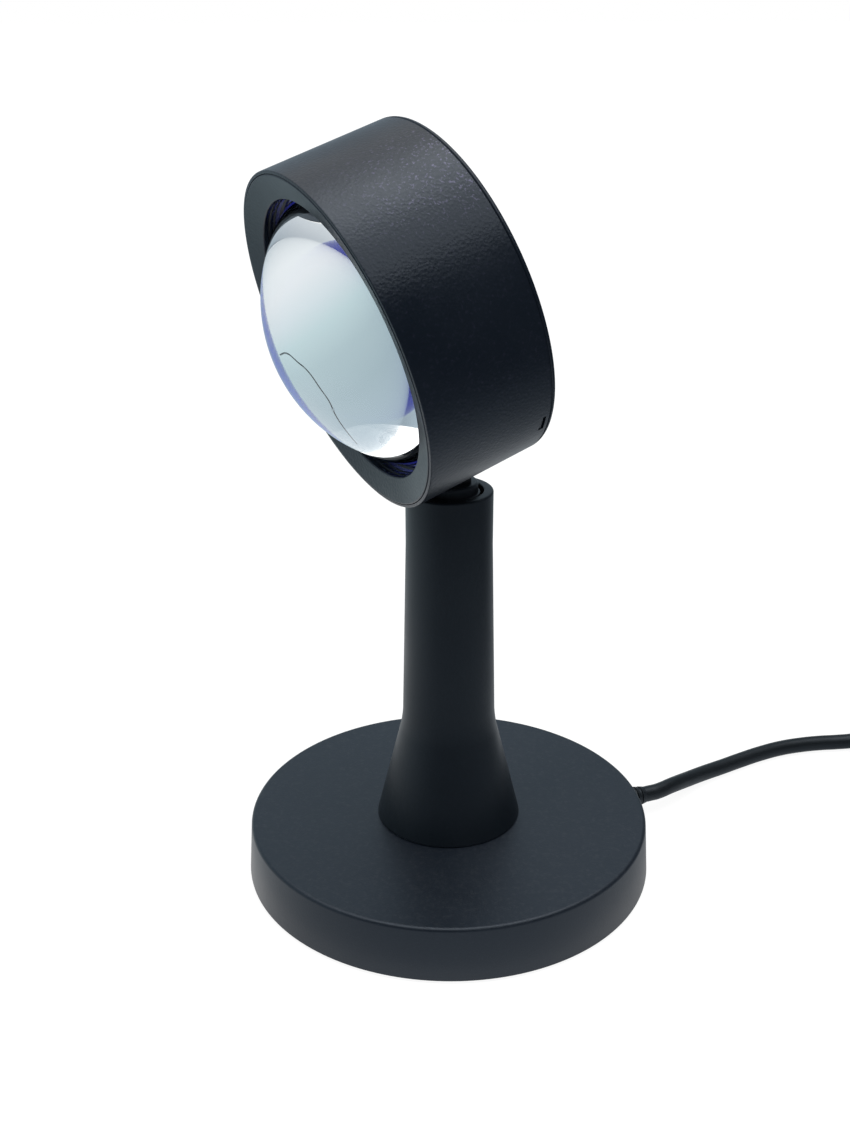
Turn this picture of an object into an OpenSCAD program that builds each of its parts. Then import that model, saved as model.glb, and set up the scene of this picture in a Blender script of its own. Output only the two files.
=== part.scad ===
// Sunset projection lamp: a drum-shaped head that pans and tilts on a tapered stem.
// Millimetres, +Z up. The origin is the middle of the base's underside, on the table.

/* [Base] */
// Radius of the base at its lower rim
base_r = 49.9; // [44:0.1:60]
// How far the base's side leans in towards its top
base_lean = 0.9; // [0.4:0.1:1.6]
// Height of the base's top face above the table
base_h = 14; // [13.5:0.1:20]
// Thickness of the base shell's side wall
base_wall = 3.2; // [2.4:0.1:4]
// Thickness of the base shell's top
base_top_t = 2.2; // [1.6:0.1:2.8]
// Rounding of the base's top edge
base_edge = 0.9; // [0.4:0.1:1.4]
// Thickness of the non-slip pad
pad_t = 1.2; // [0.8:0.1:1.6]
// Thickness of the bottom plate
plate_t = 1.6; // [1.2:0.1:2]
// Gap between the ballast ring and the screw bosses round it
weight_gap = 1.2; // [0.8:0.1:5]
// Inner radius of the ballast ring
weight_in_r = 19; // [17:0.5:21]

/* [Stem] */
// Height of the stem's top above the table
stem_top = 99; // [97:0.5:120]
// Radius of the stem's top
stem_r = 10.1; // [9.9:0.05:10.6]
// Height of the straight collar at the stem's top
collar_h = 13; // [10:0.5:14]
// Radius of the flared foot
foot_r = 17.55; // [17:0.05:19]
// Height at which the flare turns into the shaft
kink_z = 40.5; // [36:0.5:46]
// Radius at which the flare turns into the shaft
kink_r = 11.15; // [10.9:0.05:12]
// Radius of the blend between flare and shaft
kink_blend = 26; // [10:1:40]
// Wall of the stem
stem_wall = 2; // [1.6:0.1:2.2]
// Radius of the socket in the stem's top
socket_r = 7.9; // [7.6:0.05:8.1]
// Depth of the socket
socket_depth = 5; // [4.5:0.1:6]
// Thickness of the web under the socket
web_t = 3.8; // [3:0.1:5]

/* [Swivel] */
// Radius of the round neck
neck_r = 6.6; // [5.8:0.1:6.8]
// Radius of the neck's flange in the socket
flange_r = 7.1; // [6.9:0.05:7.4]
// Height of the neck's shoulder above the stem's top
neck_h = 2; // [1.4:0.1:2.2]
// Radius of the threaded shank
shank_r = 3; // [2.8:0.1:3.2]
// Width of the flat eye
tongue_w = 6; // [5:0.1:6.4]
// Radius of the eye
eye_r = 4; // [3.6:0.1:4.2]
// Height of the hinge axis above the stem's top
hinge_rise = 12; // [11.8:0.05:13]
// Radius of the hinge pin
pin_r = 1.5; // [1.3:0.05:1.7]

/* [Head] */
// Radius of the drum
drum_r = 38; // [37:0.1:40]
// Depth of the drum from bezel to rear cover
drum_depth = 30.5; // [30:0.1:36]
// Wall of the drum
drum_wall = 2.4; // [1.8:0.1:2.6]
// Depth of the hinge axis under the drum's skin
pivot_inset = 6.04; // [5.9:0.01:6.1]
// Distance of the hinge axis behind the drum's middle
pivot_back = 4.08; // [3.8:0.01:4.4]
// Turn of the head to the left of the row's -X axis
aim = 27.7; // [0:0.1:60]
// Tip of the lens below the horizontal
tilt = 17.8; // [0:0.1:24]
// Furthest that the lens tips below the horizontal
tilt_down = 25; // [22:0.5:25]
// Furthest that the lens tips above the horizontal
tilt_up = 20; // [10:0.5:20]

/* [Optics] */
// Width of the front ring
ring_w = 6.6; // [6:0.1:8]
// Depth of the ring's dish
dish = 1.5; // [0.5:0.1:2]
// How much larger the lens's ball is than the opening
lens_swell = 3.9; // [3.2:0.1:5.5]
// Distance of the ball's centre behind the drum's middle
lens_ball_back = 8.18; // [7.8:0.01:9]
// How far the lens's flange reaches under the front ring
lens_lip = 1.8; // [1.4:0.1:2]
// Thickness of the lens's flange
lens_flange_t = 2.6; // [2:0.1:3]
// Radius of the colour filter
filter_r = 12.4; // [11:0.1:13]
// Thickness of the colour filter
filter_t = 1.5; // [1:0.1:1.6]

/* [Cord] */
// Diameter of the cord
cord_d = 4.2; // [4.2:0.1:4.2]
// Direction in which the cord leaves the base, from +X towards +Y
cord_az = 22; // [22:1:22]
// Height of the cord's outlet above the table
outlet_z = 4.8; // [4.6:0.1:5]
// Distance of the boot's tip from the stem's axis
boot_tip = 56.5; // [56.5:0.5:56.5]

/* [Hidden] */

// General clearances
run_gap = 0.05;   // radial, between a shaft and its bore
slip_gap = 0.1;   // between parts that slide together once
over = 1;         // how far a cutter runs past a face
turn_fn = 144;    // facets of a preview circle
small_fn = 48;

// Base, from the table up
base_top_r = base_r - base_lean;
rim_z = 0.6;                       // the shell's rim hangs just clear of the table
plate_r = base_r - 2.4;
plate_top = pad_t + plate_t;
pad_r = plate_r - 2.5;
base_ceiling = base_h - base_top_t;
base_draft = atan((base_r - base_top_r) / base_h);
lead_hole_r = 7.5;
base_boss_r = 3;
base_boss_at = base_r - base_wall - base_boss_r - 1;
weight_r = base_boss_at - base_boss_r - weight_gap;
base_screw_d = 2.5;
base_screw_l = 8.2;
base_screw_head_h = 1.25;
pilot_l = pad_t + base_screw_l + 0.3 - plate_top;
base_screw_at = [82, 202, 322];
weight_slot = 8;

// Screws that hold the stem
stem_screw_d = 3;
stem_screw_at = [30, 150, 270];
stem_boss_r = 2.8;
stem_boss_at = 10.8;
stem_boss_h = 13;
stem_screw_l = 10;
stem_screw_head_r = 2.8;
screw_head_h = 2;
register_h = 1.5;
register_t = 0.9;

// Driver board
board_l = 24;
board_w = 15;
board_t = 1.2;
board_post_h = 1.7;
board_post_r = 2;
board_post_at = 9.5;
board_screw_d = 2;
board_screw_l = 3.2;
board_screw_head_r = 1.8;
board_screw_head_h = 1.2;
board_z = plate_top + board_post_h;
board_top = board_z + board_t;
lead_r = 1.1;
lead_rise = 4;      // height over the board at which the lead stands upright

// Stem
flare = atan((foot_r - kink_r) / (kink_z - base_h));
taper = atan((kink_r - stem_r) / (stem_top - collar_h - kink_z));
socket_z = stem_top - socket_depth;
web_z = socket_z - web_t;
tube_r = stem_r - stem_wall + 0.1;
stop_w = 0.9;
stop_in_r = 6.4;

// Swivel, from the socket's floor up, and down below the web
pan_washer_t = 0.8;
flange_z = socket_z + pan_washer_t + run_gap;
flange_top = stem_top - 0.4;
neck_top = stem_top + neck_h;
pivot_z = stem_top + hinge_rise;
spring_h = 1.25;
spring_t = 0.6;
spring_z = web_z - run_gap - spring_h;
stop_t = 0.8;
stop_z = spring_z - stop_t;
nut_h = 4.2;
nut_z = stop_z - nut_h;
nut_flats = 10;
shank_tip = 0.9;
shank_z = nut_z - shank_tip;
wire_bore_r = 1.3;
groove_r = 1;
groove_turn = 52;   // lean of the bore that leads the wire out to the groove
groove_at = eye_r - 0.4;
post_lead_r = 0.75;
post_lead_up = 2;

// Head, along its own axis: z runs from the rear cover to the lens, x points down, y is the hinge
front_z = drum_depth / 2;
rear_z = -drum_depth / 2;
cover_t = 1.2;
cover_z = rear_z + cover_t;
seam = 0.25;
bore_r = drum_r - drum_wall;
rim_lip = 0.7;
bezel_r = drum_r - rim_lip - slip_gap;
bezel_t = 2.95;
bezel_step_z = front_z - bezel_t;
recess = 5.25;
step_in = 0.35;      // depth of the two steps in the ring's inner wall
lens_front_z = front_z - recess;
opening_r = drum_r - ring_w;
lens_ball_r = opening_r + lens_swell;
lens_flange_r = opening_r + lens_lip;
lens_back_z = lens_front_z - lens_flange_t;
gasket_t = 0.8;
gasket_z = lens_back_z - gasket_t;
gasket_in_r = lens_flange_r - 2;
cup_flange_t = 0.8;
cup_z = gasket_z - cup_flange_t;
ledge_t = 1;
ledge_w = 1.6;
ledge_r = bore_r - ledge_w;
cup_flange_r = bore_r - 0.3;
cup_mouth_r = opening_r - 0.4;
cup_wall = 1;
throat_r = filter_r - 0.8;
cup_depth = 8.5;
filter_front_z = cup_z - cup_depth;
filter_z = filter_front_z - filter_t;
clip_t = 0.7;
collar_z = filter_z - clip_t - 0.5;
collar_r = filter_r + 1.4;

// LED and its heat sink
sink_r = 15;
sink_h = 6.45;
sink_face_z = cover_z + sink_h;
sink_t = 2;
fin_t = 1;
fin_count = 12;
led_board_r = 9.5;
led_board_t = 1.2;
led_z = sink_face_z + led_board_t;
led_size = 7;
led_t = 0.8;
sink_screw_d = 2;
sink_screw_l = 6;
sink_screw_head_r = 1.9;
sink_screw_head_h = 1.2;
sink_screw_at = 12;
sink_boss_r = 2.2;
head_lead_r = 0.6;

// Hinge inside the drum
pivot_x = drum_r - pivot_inset;
pivot_y_gap = tongue_w / 2;
washer_t = 0.5;
ear_t = 1.5;
ear_in = pivot_y_gap + washer_t + run_gap;
ear_out = ear_in + ear_t;
ear_r = sqrt(bore_r * bore_r - ear_out * ear_out) - pivot_x - 0.15;
bracket_in_x = pivot_x + 0.64;
bracket_t = 1.2;
bracket_out_x = bracket_in_x + bracket_t;
slot_gap = 0.35;
slot_half_w = tongue_w / 2 + 0.3;
foot_w = 11;
foot_l = 2.8;
foot_screw_y = 8.5;
foot_screw_d = 1.6;
foot_screw_l = 3.2;
foot_screw_head_r = 1.4;
foot_screw_head_h = 1;
pad_boss_r = 2;
pin_head_r = 2.3;
pin_head_t = 0.7;

// How far the tongue reaches along the drum at a depth d under the hinge axis
function reach(d, angle) = eye_r / cos(angle) + d * tan(angle);
slot_front = -pivot_back + reach(pivot_inset, tilt_down) + slot_gap;
slot_rear = -pivot_back - reach(pivot_inset, tilt_up) - slot_gap;
gate_front = -pivot_back + reach(bracket_out_x - pivot_x, tilt_down) + slot_gap;
gate_rear = -pivot_back - reach(bracket_out_x - pivot_x, tilt_up) - slot_gap;

// Latches of the rear cover
latch_at = [52, 180, 308];
latch_w = 4.6;
latch_window_at = [52, 308];
latch_h = 1.3;
latch_slit = 0.45;
latch_gap = 0.15;
latch_low_z = cover_z + 0.95;
latch_top_z = latch_low_z + latch_h;
spigot_top_z = latch_top_z + 0.4;
spigot_out_r = bore_r - slip_gap;
spigot_in_r = spigot_out_r - 1.8;
bracket_clear_w = 25;

// Inline switch
switch_x = 130;
switch_y = 54.6;
switch_l = 38;
switch_w = 16;
switch_h = 11;
switch_split = 5;
switch_wall = 1.5;
switch_corner = 4;
switch_axis_z = 5.5;
button_l = 9;
button_w = 6;
button_gap = 0.15;
button_top = switch_h + 1;
button_travel = 0.8;
tact_h = 3;
switch_board_z = 4.2;
switch_board_t = 1;

// Coil of the unseen cord
coil_x = 192;
coil_y = 29.5;
coil_mid_r = 23;
coil_rows = 3;
coil_columns = 3;
tie_t = 0.8;
tie_w = 6;
tie_at = 20;
coil_w = coil_columns * cord_d;
coil_h = coil_rows * cord_d;

// Plug
plug_x = 150;
plug_y = -3;
plug_z = 4;
plug_h = 8;
plug_w = 15.5;
plug_grip_l = 18;
plug_boot_l = 7;
usb_w = 12;
usb_h = 4.5;
usb_l = 12;
usb_wall = 0.35;
usb_tongue_h = 1.8;

// Routes of the cord, chosen by hand
cord_route = [[boot_tip * cos(cord_az), boot_tip * sin(cord_az), outlet_z],
    [(boot_tip + 2) * cos(cord_az), (boot_tip + 2) * sin(cord_az), outlet_z],
    [(boot_tip + 4) * cos(cord_az), (boot_tip + 4) * sin(cord_az), outlet_z],
    [60.8, 26.2, 4.6], [65.8, 31, 3.5], [71, 35.6, 2.6], [77, 39.7, 2.2],
    [83, 43.5, 2.1], [89.5, 47.2, 2.1], [96, 50.2, 2.1], [102, 52, 2.1], [108, 53.1, 2.1],
    [113, 53.6, 2.1], [118, 54, 2.4], [123, 54.4, 3.8], [127, 54.6, 5.1],
    [switch_x, switch_y, switch_axis_z]];
mid_route = [[switch_x + switch_l, switch_y, switch_axis_z], [171, 54.7, 5.2],
    [175, 55.2, 4.1], [180, 56.1, 3.1], [186, 56.7, 2.9]];
tail_route = [[200, 6.5, 15.5], [196, 3, 15.6], [191, 0.6, 15.4], [185, -1.2, 14.4],
    [178, -2.5, 12.2], [171, -3, 8.9], [164, -3, 5.8], [157, -3, plug_z],
    [plug_x + 3.5, plug_y, plug_z], [plug_x, plug_y, plug_z]];

module in_head() {
    translate([0, 0, pivot_z])
        rotate([0, 90 + tilt, 180 + aim])
            translate([-pivot_x, 0, pivot_back])
                children();
}

module in_swivel() {
    rotate(180 + aim) children();
}

module on_cord_side() {
    rotate(cord_az) children();
}

// Points of an arc about [x, y], from angle a to angle b
function arc(x, y, r, a, b, n = 6) =
    [for (i = [0:n]) [x + r * cos(a + (b - a) * i / n), y + r * sin(a + (b - a) * i / n)]];

// A smooth curve through hand-chosen points, with k steps between each two
function knot(p, i) = p[max(0, min(len(p) - 1, i))];
function between(a, b, c, d, t) =
    0.5 * ((2 * b) + (c - a) * t + (2 * a - 5 * b + 4 * c - d) * t * t
        + (3 * b - a - 3 * c + d) * t * t * t);
function smooth(p, k) = [
    for (i = [0:len(p) - 2]) for (j = [0:k - 1])
        between(knot(p, i - 1), p[i], p[i + 1], knot(p, i + 2), j / k),
    p[len(p) - 1]];
function unit(v) = v / norm(v);

// A tube along a line of points, with flat ends
module tube(line, r, sides = 8, up = [0, 0, 1]) {
    last = len(line) - 1;
    rings = [for (i = [0:last])
        let (along = unit(line[min(last, i + 1)] - line[max(0, i - 1)]),
            side = unit(cross(along, up)),
            top = cross(side, along))
        [for (j = [0:sides - 1])
            line[i] + r * (cos(360 * j / sides) * side + sin(360 * j / sides) * top)]];
    polyhedron(
        points = [for (ring = rings) each ring],
        faces = concat(
            [[for (j = [0:sides - 1]) j]],
            [for (i = [0:last - 1]) for (j = [0:sides - 1])
                let (k = (j + 1) % sides)
                [i * sides + j, (i + 1) * sides + j, (i + 1) * sides + k, i * sides + k]],
            [[for (j = [sides - 1:-1:0]) last * sides + j]]));
}

module ring(r_out, r_in, z, h) {
    translate([0, 0, z])
        difference() {
            cylinder(r = r_out, h = h, $fn = turn_fn);
            translate([0, 0, -over]) cylinder(r = r_in, h = h + 2 * over, $fn = turn_fn);
        }
}

module drill(r, z, h) {
    translate([0, 0, z]) cylinder(r = r, h = h, $fn = small_fn);
}

// A screw that points up +Z, with its seat at z = 0
module pan_screw(d, length, head_r, head_h) {
    translate([0, 0, -head_h])
        difference() {
            cylinder(r1 = head_r * 0.8, r2 = head_r, h = head_h, $fn = small_fn);
            cylinder(r = d * 0.42, h = head_h * 0.5, $fn = 6);
        }
    cylinder(d = d, h = length, $fn = small_fn);
}

module around(angles, at) {
    for (a = angles) rotate(a) translate([at, 0, 0]) children();
}

// ---- Base ----

module base_shell() {
    edge_r = base_top_r - base_edge;
    side_in_r = base_r - base_wall;
    color("#3b4046")
    difference() {
        union() {
            rotate_extrude($fn = turn_fn)
                polygon(concat(
                    [[base_r - 1.6, rim_z], [base_r, rim_z]],
                    arc(edge_r, base_h - base_edge, base_edge, base_draft, 90),
                    [[lead_hole_r, base_h], [lead_hole_r, base_ceiling],
                        [side_in_r - 2, base_ceiling], [side_in_r, base_ceiling - 2],
                        [side_in_r, plate_top], [plate_r + slip_gap, plate_top],
                        [plate_r + slip_gap, rim_z]]));
            around(base_screw_at, base_boss_at) {
                drill(base_boss_r, plate_top, base_ceiling - plate_top + 0.5);
                translate([0, -0.8, plate_top + 1])
                    cube([side_in_r - base_boss_at + 0.5, 1.6, base_ceiling - plate_top - 1]);
            }
            ring(register_out_r(), register_out_r() - register_t, base_h - 0.5,
                register_h + 0.5);
        }
        around(base_screw_at, base_boss_at)
            drill(base_screw_d / 2 + run_gap, plate_top - over, pilot_l + over);
        around(stem_screw_at, stem_boss_at)
            drill(stem_screw_d / 2 + slip_gap, base_ceiling - over, base_top_t + 2 * over);
        on_cord_side()
            translate([base_r - 6, 0, outlet_z])
                rotate([0, 90, 0]) cylinder(r = 3, h = 10, $fn = small_fn);
    }
}

// Inner radius of the stem's foot at a height above the base's top
function foot_in_r(z) = foot_r - stem_wall - 0.4 - z * tan(flare);
function register_out_r() = foot_in_r(register_h) - 0.2;

module base_plate() {
    color("#55595e")
    difference() {
        union() {
            drill(plate_r, pad_t, plate_t, $fn = turn_fn);
            on_cord_side()
                for (x = [-board_post_at, board_post_at])
                    translate([x, 0, 0]) drill(board_post_r, plate_top - 0.5, board_post_h + 0.5);
        }
        around(base_screw_at, base_boss_at) {
            drill(base_screw_d / 2 + run_gap, pad_t - over, plate_t + 2 * over);
            translate([0, 0, pad_t - 0.01])
                cylinder(r1 = base_screw_d + run_gap, r2 = base_screw_d / 2 + run_gap,
                    h = base_screw_head_h + run_gap, $fn = small_fn);
        }
        on_cord_side()
            for (x = [-board_post_at, board_post_at])
                translate([x, 0, 0])
                    drill(board_screw_d / 2 + run_gap, board_top - board_screw_l - 0.2,
                        board_screw_l + over);
    }
}

module base_pad() {
    color("#26282b")
        rotate_extrude($fn = turn_fn)
            polygon([[0, 0], [pad_r - 0.4, 0], [pad_r, 0.4], [pad_r, pad_t], [0, pad_t]]);
}

module base_weight() {
    color("#5b5a58")
    difference() {
        rotate_extrude($fn = turn_fn)
            polygon([[weight_in_r, plate_top], [weight_r - 0.8, plate_top],
                [weight_r, plate_top + 0.8], [weight_r, base_ceiling - 0.8],
                [weight_r - 0.8, base_ceiling], [weight_in_r, base_ceiling]]);
        on_cord_side()
            translate([0, -weight_slot / 2, plate_top - over])
                cube([weight_r + over, weight_slot, base_ceiling - plate_top + 2 * over]);
    }
}

module base_screws() {
    color("#8d9094")
        around(base_screw_at, base_boss_at) {
            difference() {
                translate([0, 0, pad_t])
                    cylinder(r1 = base_screw_d, r2 = base_screw_d / 2,
                        h = base_screw_head_h, $fn = small_fn);
                translate([0, 0, pad_t - over])
                    cylinder(r = base_screw_d * 0.4, h = over + base_screw_head_h / 2,
                        $fn = 6);
            }
            drill(base_screw_d / 2, pad_t + base_screw_head_h * 0.8,
                base_screw_l - base_screw_head_h * 0.8);
        }
}

module driver_board() {
    color("#2f6b45")
        on_cord_side()
            difference() {
                union() {
                    translate([-board_l / 2, -board_w / 2, board_z])
                        cube([board_l, board_w, board_t]);
                    // inductor, capacitor, driver chip, diode and the two lead pads
                    translate([2, 3, board_top - 0.2])
                        cylinder(r = 2.6, h = 3, $fn = small_fn);
                    translate([-5.5, 4, board_top - 0.2])
                        cylinder(r = 2, h = 3.4, $fn = small_fn);
                    translate([-1.5, -5.8, board_top - 0.2]) cube([5, 4, 1.5]);
                    translate([5.5, -5, board_top - 0.2]) cube([3.4, 2, 1.3]);
                    translate([-8, -6, board_top - 0.2]) cube([2.4, 1.4, 0.8]);
                }
                for (x = [-board_post_at, board_post_at])
                    translate([x, 0, 0]) drill(1.1, board_z - over, board_t + 2 * over);
            }
}

module board_screws() {
    color("#9a9da1")
        on_cord_side()
            for (x = [-board_post_at, board_post_at])
                translate([x, 0, board_top])
                    rotate([180, 0, 0])
                        pan_screw(board_screw_d, board_screw_l, board_screw_head_r,
                            board_screw_head_h);
}

module strain_relief() {
    wall_in = base_r - base_wall - 0.4;
    wall_out = base_r + 0.05;
    rib = 0.3;
    color("#1c1e20")
        on_cord_side()
            difference() {
                translate([0, 0, outlet_z])
                    rotate([0, 90, 0])
                        rotate_extrude($fn = small_fn)
                            polygon(concat(
                                [[0, wall_in - 1.6], [3.7, wall_in - 1.6], [3.7, wall_in],
                                    [2.95, wall_in], [2.95, wall_out], [3.5, wall_out],
                                    [3.5, wall_out + 0.7], [3, wall_out + 1.1]],
                                [for (i = [0:2]) each
                                    [[2.9 - i * 0.2, wall_out + 1.9 + i * 1.4],
                                        [2.9 - i * 0.2 - rib, wall_out + 2 + i * 1.4],
                                        [2.9 - i * 0.2 - rib, wall_out + 2.5 + i * 1.4],
                                        [2.85 - i * 0.2, wall_out + 2.6 + i * 1.4]]],
                                [[cord_d / 2 + 0.1, boot_tip], [0, boot_tip]]));
                // the inner flange stands flat on the bottom plate
                translate([wall_in - 5, -5, plate_top + run_gap - 5])
                    cube([plate_r + 2 * slip_gap - wall_in + 5, 10, 5]);
            }
}

module inlet_lead() {
    start = base_r - base_wall - 2;
    color("#7a2a24")
        on_cord_side()
            tube([[start, 0, outlet_z], [start - 8, 0, outlet_z],
                [board_l / 2 + 14, 0, outlet_z + 0.3],
                [board_l / 2 + 6, -1.5, outlet_z + 1.6],
                [board_l / 2 + 1.5, -3.2, board_top + lead_r],
                [board_l / 2 - 2.5, -3.4, board_top + lead_r]], lead_r);
}

// ---- Stem ----

module stem() {
    down_r = foot_r;
    blend = kink_blend * tan((flare - taper) / 2);
    // the blend's centre lies outside the stem, level with its two tangent points
    low = [kink_r + blend * sin(flare), kink_z - blend * cos(flare)];
    centre = [low[0] + kink_blend * cos(flare), low[1] + kink_blend * sin(flare)];
    collar_z = stem_top - collar_h;
    color("#33373c")
    difference() {
        union() {
            rotate_extrude($fn = turn_fn)
                polygon(concat(
                    [[foot_in_r(0), base_h], [down_r - 0.3, base_h], [down_r, base_h + 0.3]],
                    arc(centre[0], centre[1], kink_blend, 180 + flare, 180 + taper),
                    [[stem_r, collar_z]],
                    arc(stem_r - 0.5, stem_top - 0.5, 0.5, 0, 90, 4),
                    [[socket_r + 0.3, stem_top], [socket_r, stem_top - 0.3],
                        [socket_r, socket_z], [shank_r + run_gap, socket_z],
                        [shank_r + run_gap, web_z], [tube_r, web_z],
                        [tube_r, kink_z + 4], [foot_in_r(kink_z - 3 - base_h), kink_z - 3]]));
            intersection() {
                around(stem_screw_at, stem_boss_at) drill(stem_boss_r, base_h, stem_boss_h);
                cylinder(r1 = foot_r + 2.4, r2 = foot_r - 2.6, h = base_h + stem_boss_h,
                    $fn = turn_fn);
            }
            // the rib that the stop washer's tab meets
            in_swivel()
                translate([stop_in_r, -stop_w / 2, stop_z - 0.4])
                    cube([tube_r - stop_in_r + 0.5, stop_w, web_z - stop_z + 0.6]);
        }
        around(stem_screw_at, stem_boss_at)
            drill(stem_screw_d / 2 + run_gap, base_h - over, stem_screw_l + over);
    }
}

module stem_screws() {
    color("#8d9094")
        around(stem_screw_at, stem_boss_at)
            translate([0, 0, base_ceiling])
                pan_screw(stem_screw_d, base_top_t + stem_screw_l - 1, stem_screw_head_r,
                    screw_head_h);
}

module stem_lead() {
    color("#7a2a24")
        on_cord_side()
            tube(concat([[-7, -2.5, board_top + lead_r], [-5, -2, board_top + lead_r * 1.5],
                [-2, -0.8, board_top + lead_rise]],
                [for (i = [0:5]) [0, 0, base_h + 2 + (shank_z - base_h - 2) * i / 6]],
                [[0, 0, shank_z - 0.3]]), lead_r, up = [0, 1, 0]);
}

module pan_washer() {
    color("#d8d4c8")
        ring(flange_r - 0.1, shank_r + 0.2, socket_z, pan_washer_t);
}

// ---- Swivel ----

module hinge_tongue() {
    color("#9fa3a8")
        in_swivel()
            difference() {
                union() {
                    drill(shank_r, shank_z, neck_top - shank_z + 0.5);
                    translate([-eye_r, -tongue_w / 2, neck_top])
                        cube([2 * eye_r, tongue_w, pivot_z - neck_top]);
                    translate([0, tongue_w / 2, pivot_z])
                        rotate([90, 0, 0]) cylinder(r = eye_r, h = tongue_w, $fn = turn_fn);
                }
                translate([0, tongue_w / 2 + over, pivot_z])
                    rotate([90, 0, 0])
                        cylinder(r = pin_r + run_gap, h = tongue_w + 2 * over, $fn = small_fn);
                drill(wire_bore_r, shank_z - over, neck_top + 2.6 - shank_z);
                translate([0, 0, neck_top])
                    rotate([0, -groove_turn, 0])
                        cylinder(r = groove_r, h = 6.2, $fn = small_fn);
                translate([-groove_at, 0, 0]) drill(groove_r, neck_top + 1.8, 2 * hinge_rise);
            }
}

module neck_collar() {
    color("#2b2e32")
        rotate_extrude($fn = turn_fn)
            polygon([[shank_r + run_gap, flange_z], [flange_r, flange_z],
                [flange_r, flange_top - 0.3], [flange_r - 0.3, flange_top],
                [neck_r, flange_top], [neck_r, neck_top - 0.6], [neck_r - 0.6, neck_top],
                [shank_r + run_gap, neck_top]]);
}

module stop_washer() {
    color("#9fa3a8")
        in_swivel() {
            difference() {
                union() {
                    drill(5.8, stop_z, stop_t);
                    translate([-7.3, -0.5, stop_z]) cube([4, 1, stop_t]);
                }
                drill(shank_r + run_gap, stop_z - over, stop_t + 2 * over);
            }
        }
}

module pan_spring() {
    color("#aeb2b6")
        rotate_extrude($fn = turn_fn)
            polygon([[shank_r + 0.15, spring_z], [4.4, spring_z],
                [6, spring_z + spring_h - spring_t], [6, spring_z + spring_h],
                [4.9, spring_z + spring_h], [shank_r + 0.15, spring_z + spring_t]]);
}

module pan_nut() {
    color("#9fa3a8")
        in_swivel()
            difference() {
                translate([0, 0, nut_z])
                    cylinder(r = nut_flats / 2 / cos(30), h = nut_h, $fn = 6);
                drill(shank_r + run_gap, nut_z - over, nut_h + 2 * over);
            }
}

module post_lead() {
    color("#7a2a24")
        in_swivel()
            tube(concat([[0, 0, shank_z], [0, 0, web_z], [0, 0, neck_top - 1.5]],
                [for (t = [0.1, 0.5, 0.85])
                    [-t * groove_at, 0, neck_top + t * groove_at / tan(groove_turn)]],
                [[-0.96 * groove_at, 0, neck_top + 1.05 * groove_at / tan(groove_turn)],
                    [-groove_at, 0, neck_top + 4.4], [-groove_at, 0, pivot_z],
                    [-groove_at, 0, pivot_z + post_lead_up]]),
                post_lead_r, up = [0, 1, 0]);
}

// ---- Head ----

module latch_block(z_low, z_top, r_in, r_out, w) {
    translate([r_in, -w / 2, z_low]) cube([r_out - r_in, w, z_top - z_low]);
}

module head_housing() {
    color("#3b4046")
    in_head()
        difference() {
            union() {
                rotate_extrude($fn = turn_fn)
                    polygon([[bore_r, cover_z], [drum_r - seam, cover_z],
                        [drum_r, cover_z + seam], [drum_r, front_z - 0.2 - seam],
                        [drum_r - seam, front_z - 0.2], [drum_r - rim_lip, front_z - 0.2],
                        [drum_r - rim_lip, bezel_step_z], [bore_r, bezel_step_z],
                        [bore_r, cup_z], [ledge_r, cup_z], [ledge_r, cup_z - ledge_t],
                        [bore_r, cup_z - ledge_t]]);
                foot_bosses(pad_boss_r, bracket_out_x, drum_r - drum_wall / 2);
            }
            // slot for the tongue
            translate([bracket_out_x, -slot_half_w, slot_rear])
                cube([drum_r, 2 * slot_half_w, slot_front - slot_rear]);
            foot_bosses(foot_screw_d / 2 + run_gap, bracket_out_x - over, bracket_out_x + 2.4);
            for (a = latch_window_at)
                rotate(a)
                    latch_block(latch_low_z, latch_top_z, bore_r - over, drum_r + over, latch_w);
            // the hidden top latch snaps in a blind recess
            rotate(180)
                latch_block(latch_low_z, latch_top_z, bore_r - over, bore_r + 1.2, latch_w);
        }
}

// The four places where the bracket is screwed down, as cylinders along the drum's radius
module foot_bosses(r, x_from, x_to) {
    for (y = [-foot_screw_y, foot_screw_y])
        for (z = [gate_rear - foot_l / 2, gate_front + foot_l / 2])
            translate([x_from, y, z])
                rotate([0, 90, 0]) cylinder(r = r, h = x_to - x_from, $fn = small_fn);
}

module front_bezel() {
    lens_seat_r = lens_flange_r + slip_gap;
    color("#454a50")
    in_head()
        rotate_extrude($fn = turn_fn)
            polygon(concat(
                [[opening_r, lens_front_z]],
                [for (z = [lens_front_z + 0.9, lens_front_z + 2.1]) each
                    [[opening_r, z], [opening_r + step_in, z], [opening_r + step_in, z + 0.6],
                        [opening_r, z + 0.6]]],
                arc(opening_r + 0.3, front_z - dish - 0.3, 0.3, 180, 100, 3),
                arc(bezel_r - 0.4, front_z - 0.4, 0.4, 95, 0, 4),
                [[bezel_r, bezel_step_z], [bore_r - slip_gap, bezel_step_z],
                    [bore_r - slip_gap, gasket_z + slip_gap],
                    [lens_seat_r, gasket_z + slip_gap], [lens_seat_r, lens_front_z]]));
}

module lens() {
    color("#e4eef0", 0.6)
    in_head()
        rotate_extrude($fn = turn_fn)
            union() {
                intersection() {
                    translate([0, -lens_ball_back]) circle(r = lens_ball_r, $fn = turn_fn);
                    translate([0, lens_front_z - 0.5])
                        square([opening_r - 0.3, lens_ball_r]);
                }
                translate([0, lens_back_z]) square([lens_flange_r, lens_flange_t]);
            }
}

module lens_gasket() {
    color("#202224")
    in_head() ring(lens_flange_r, gasket_in_r, gasket_z, gasket_t);
}

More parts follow.
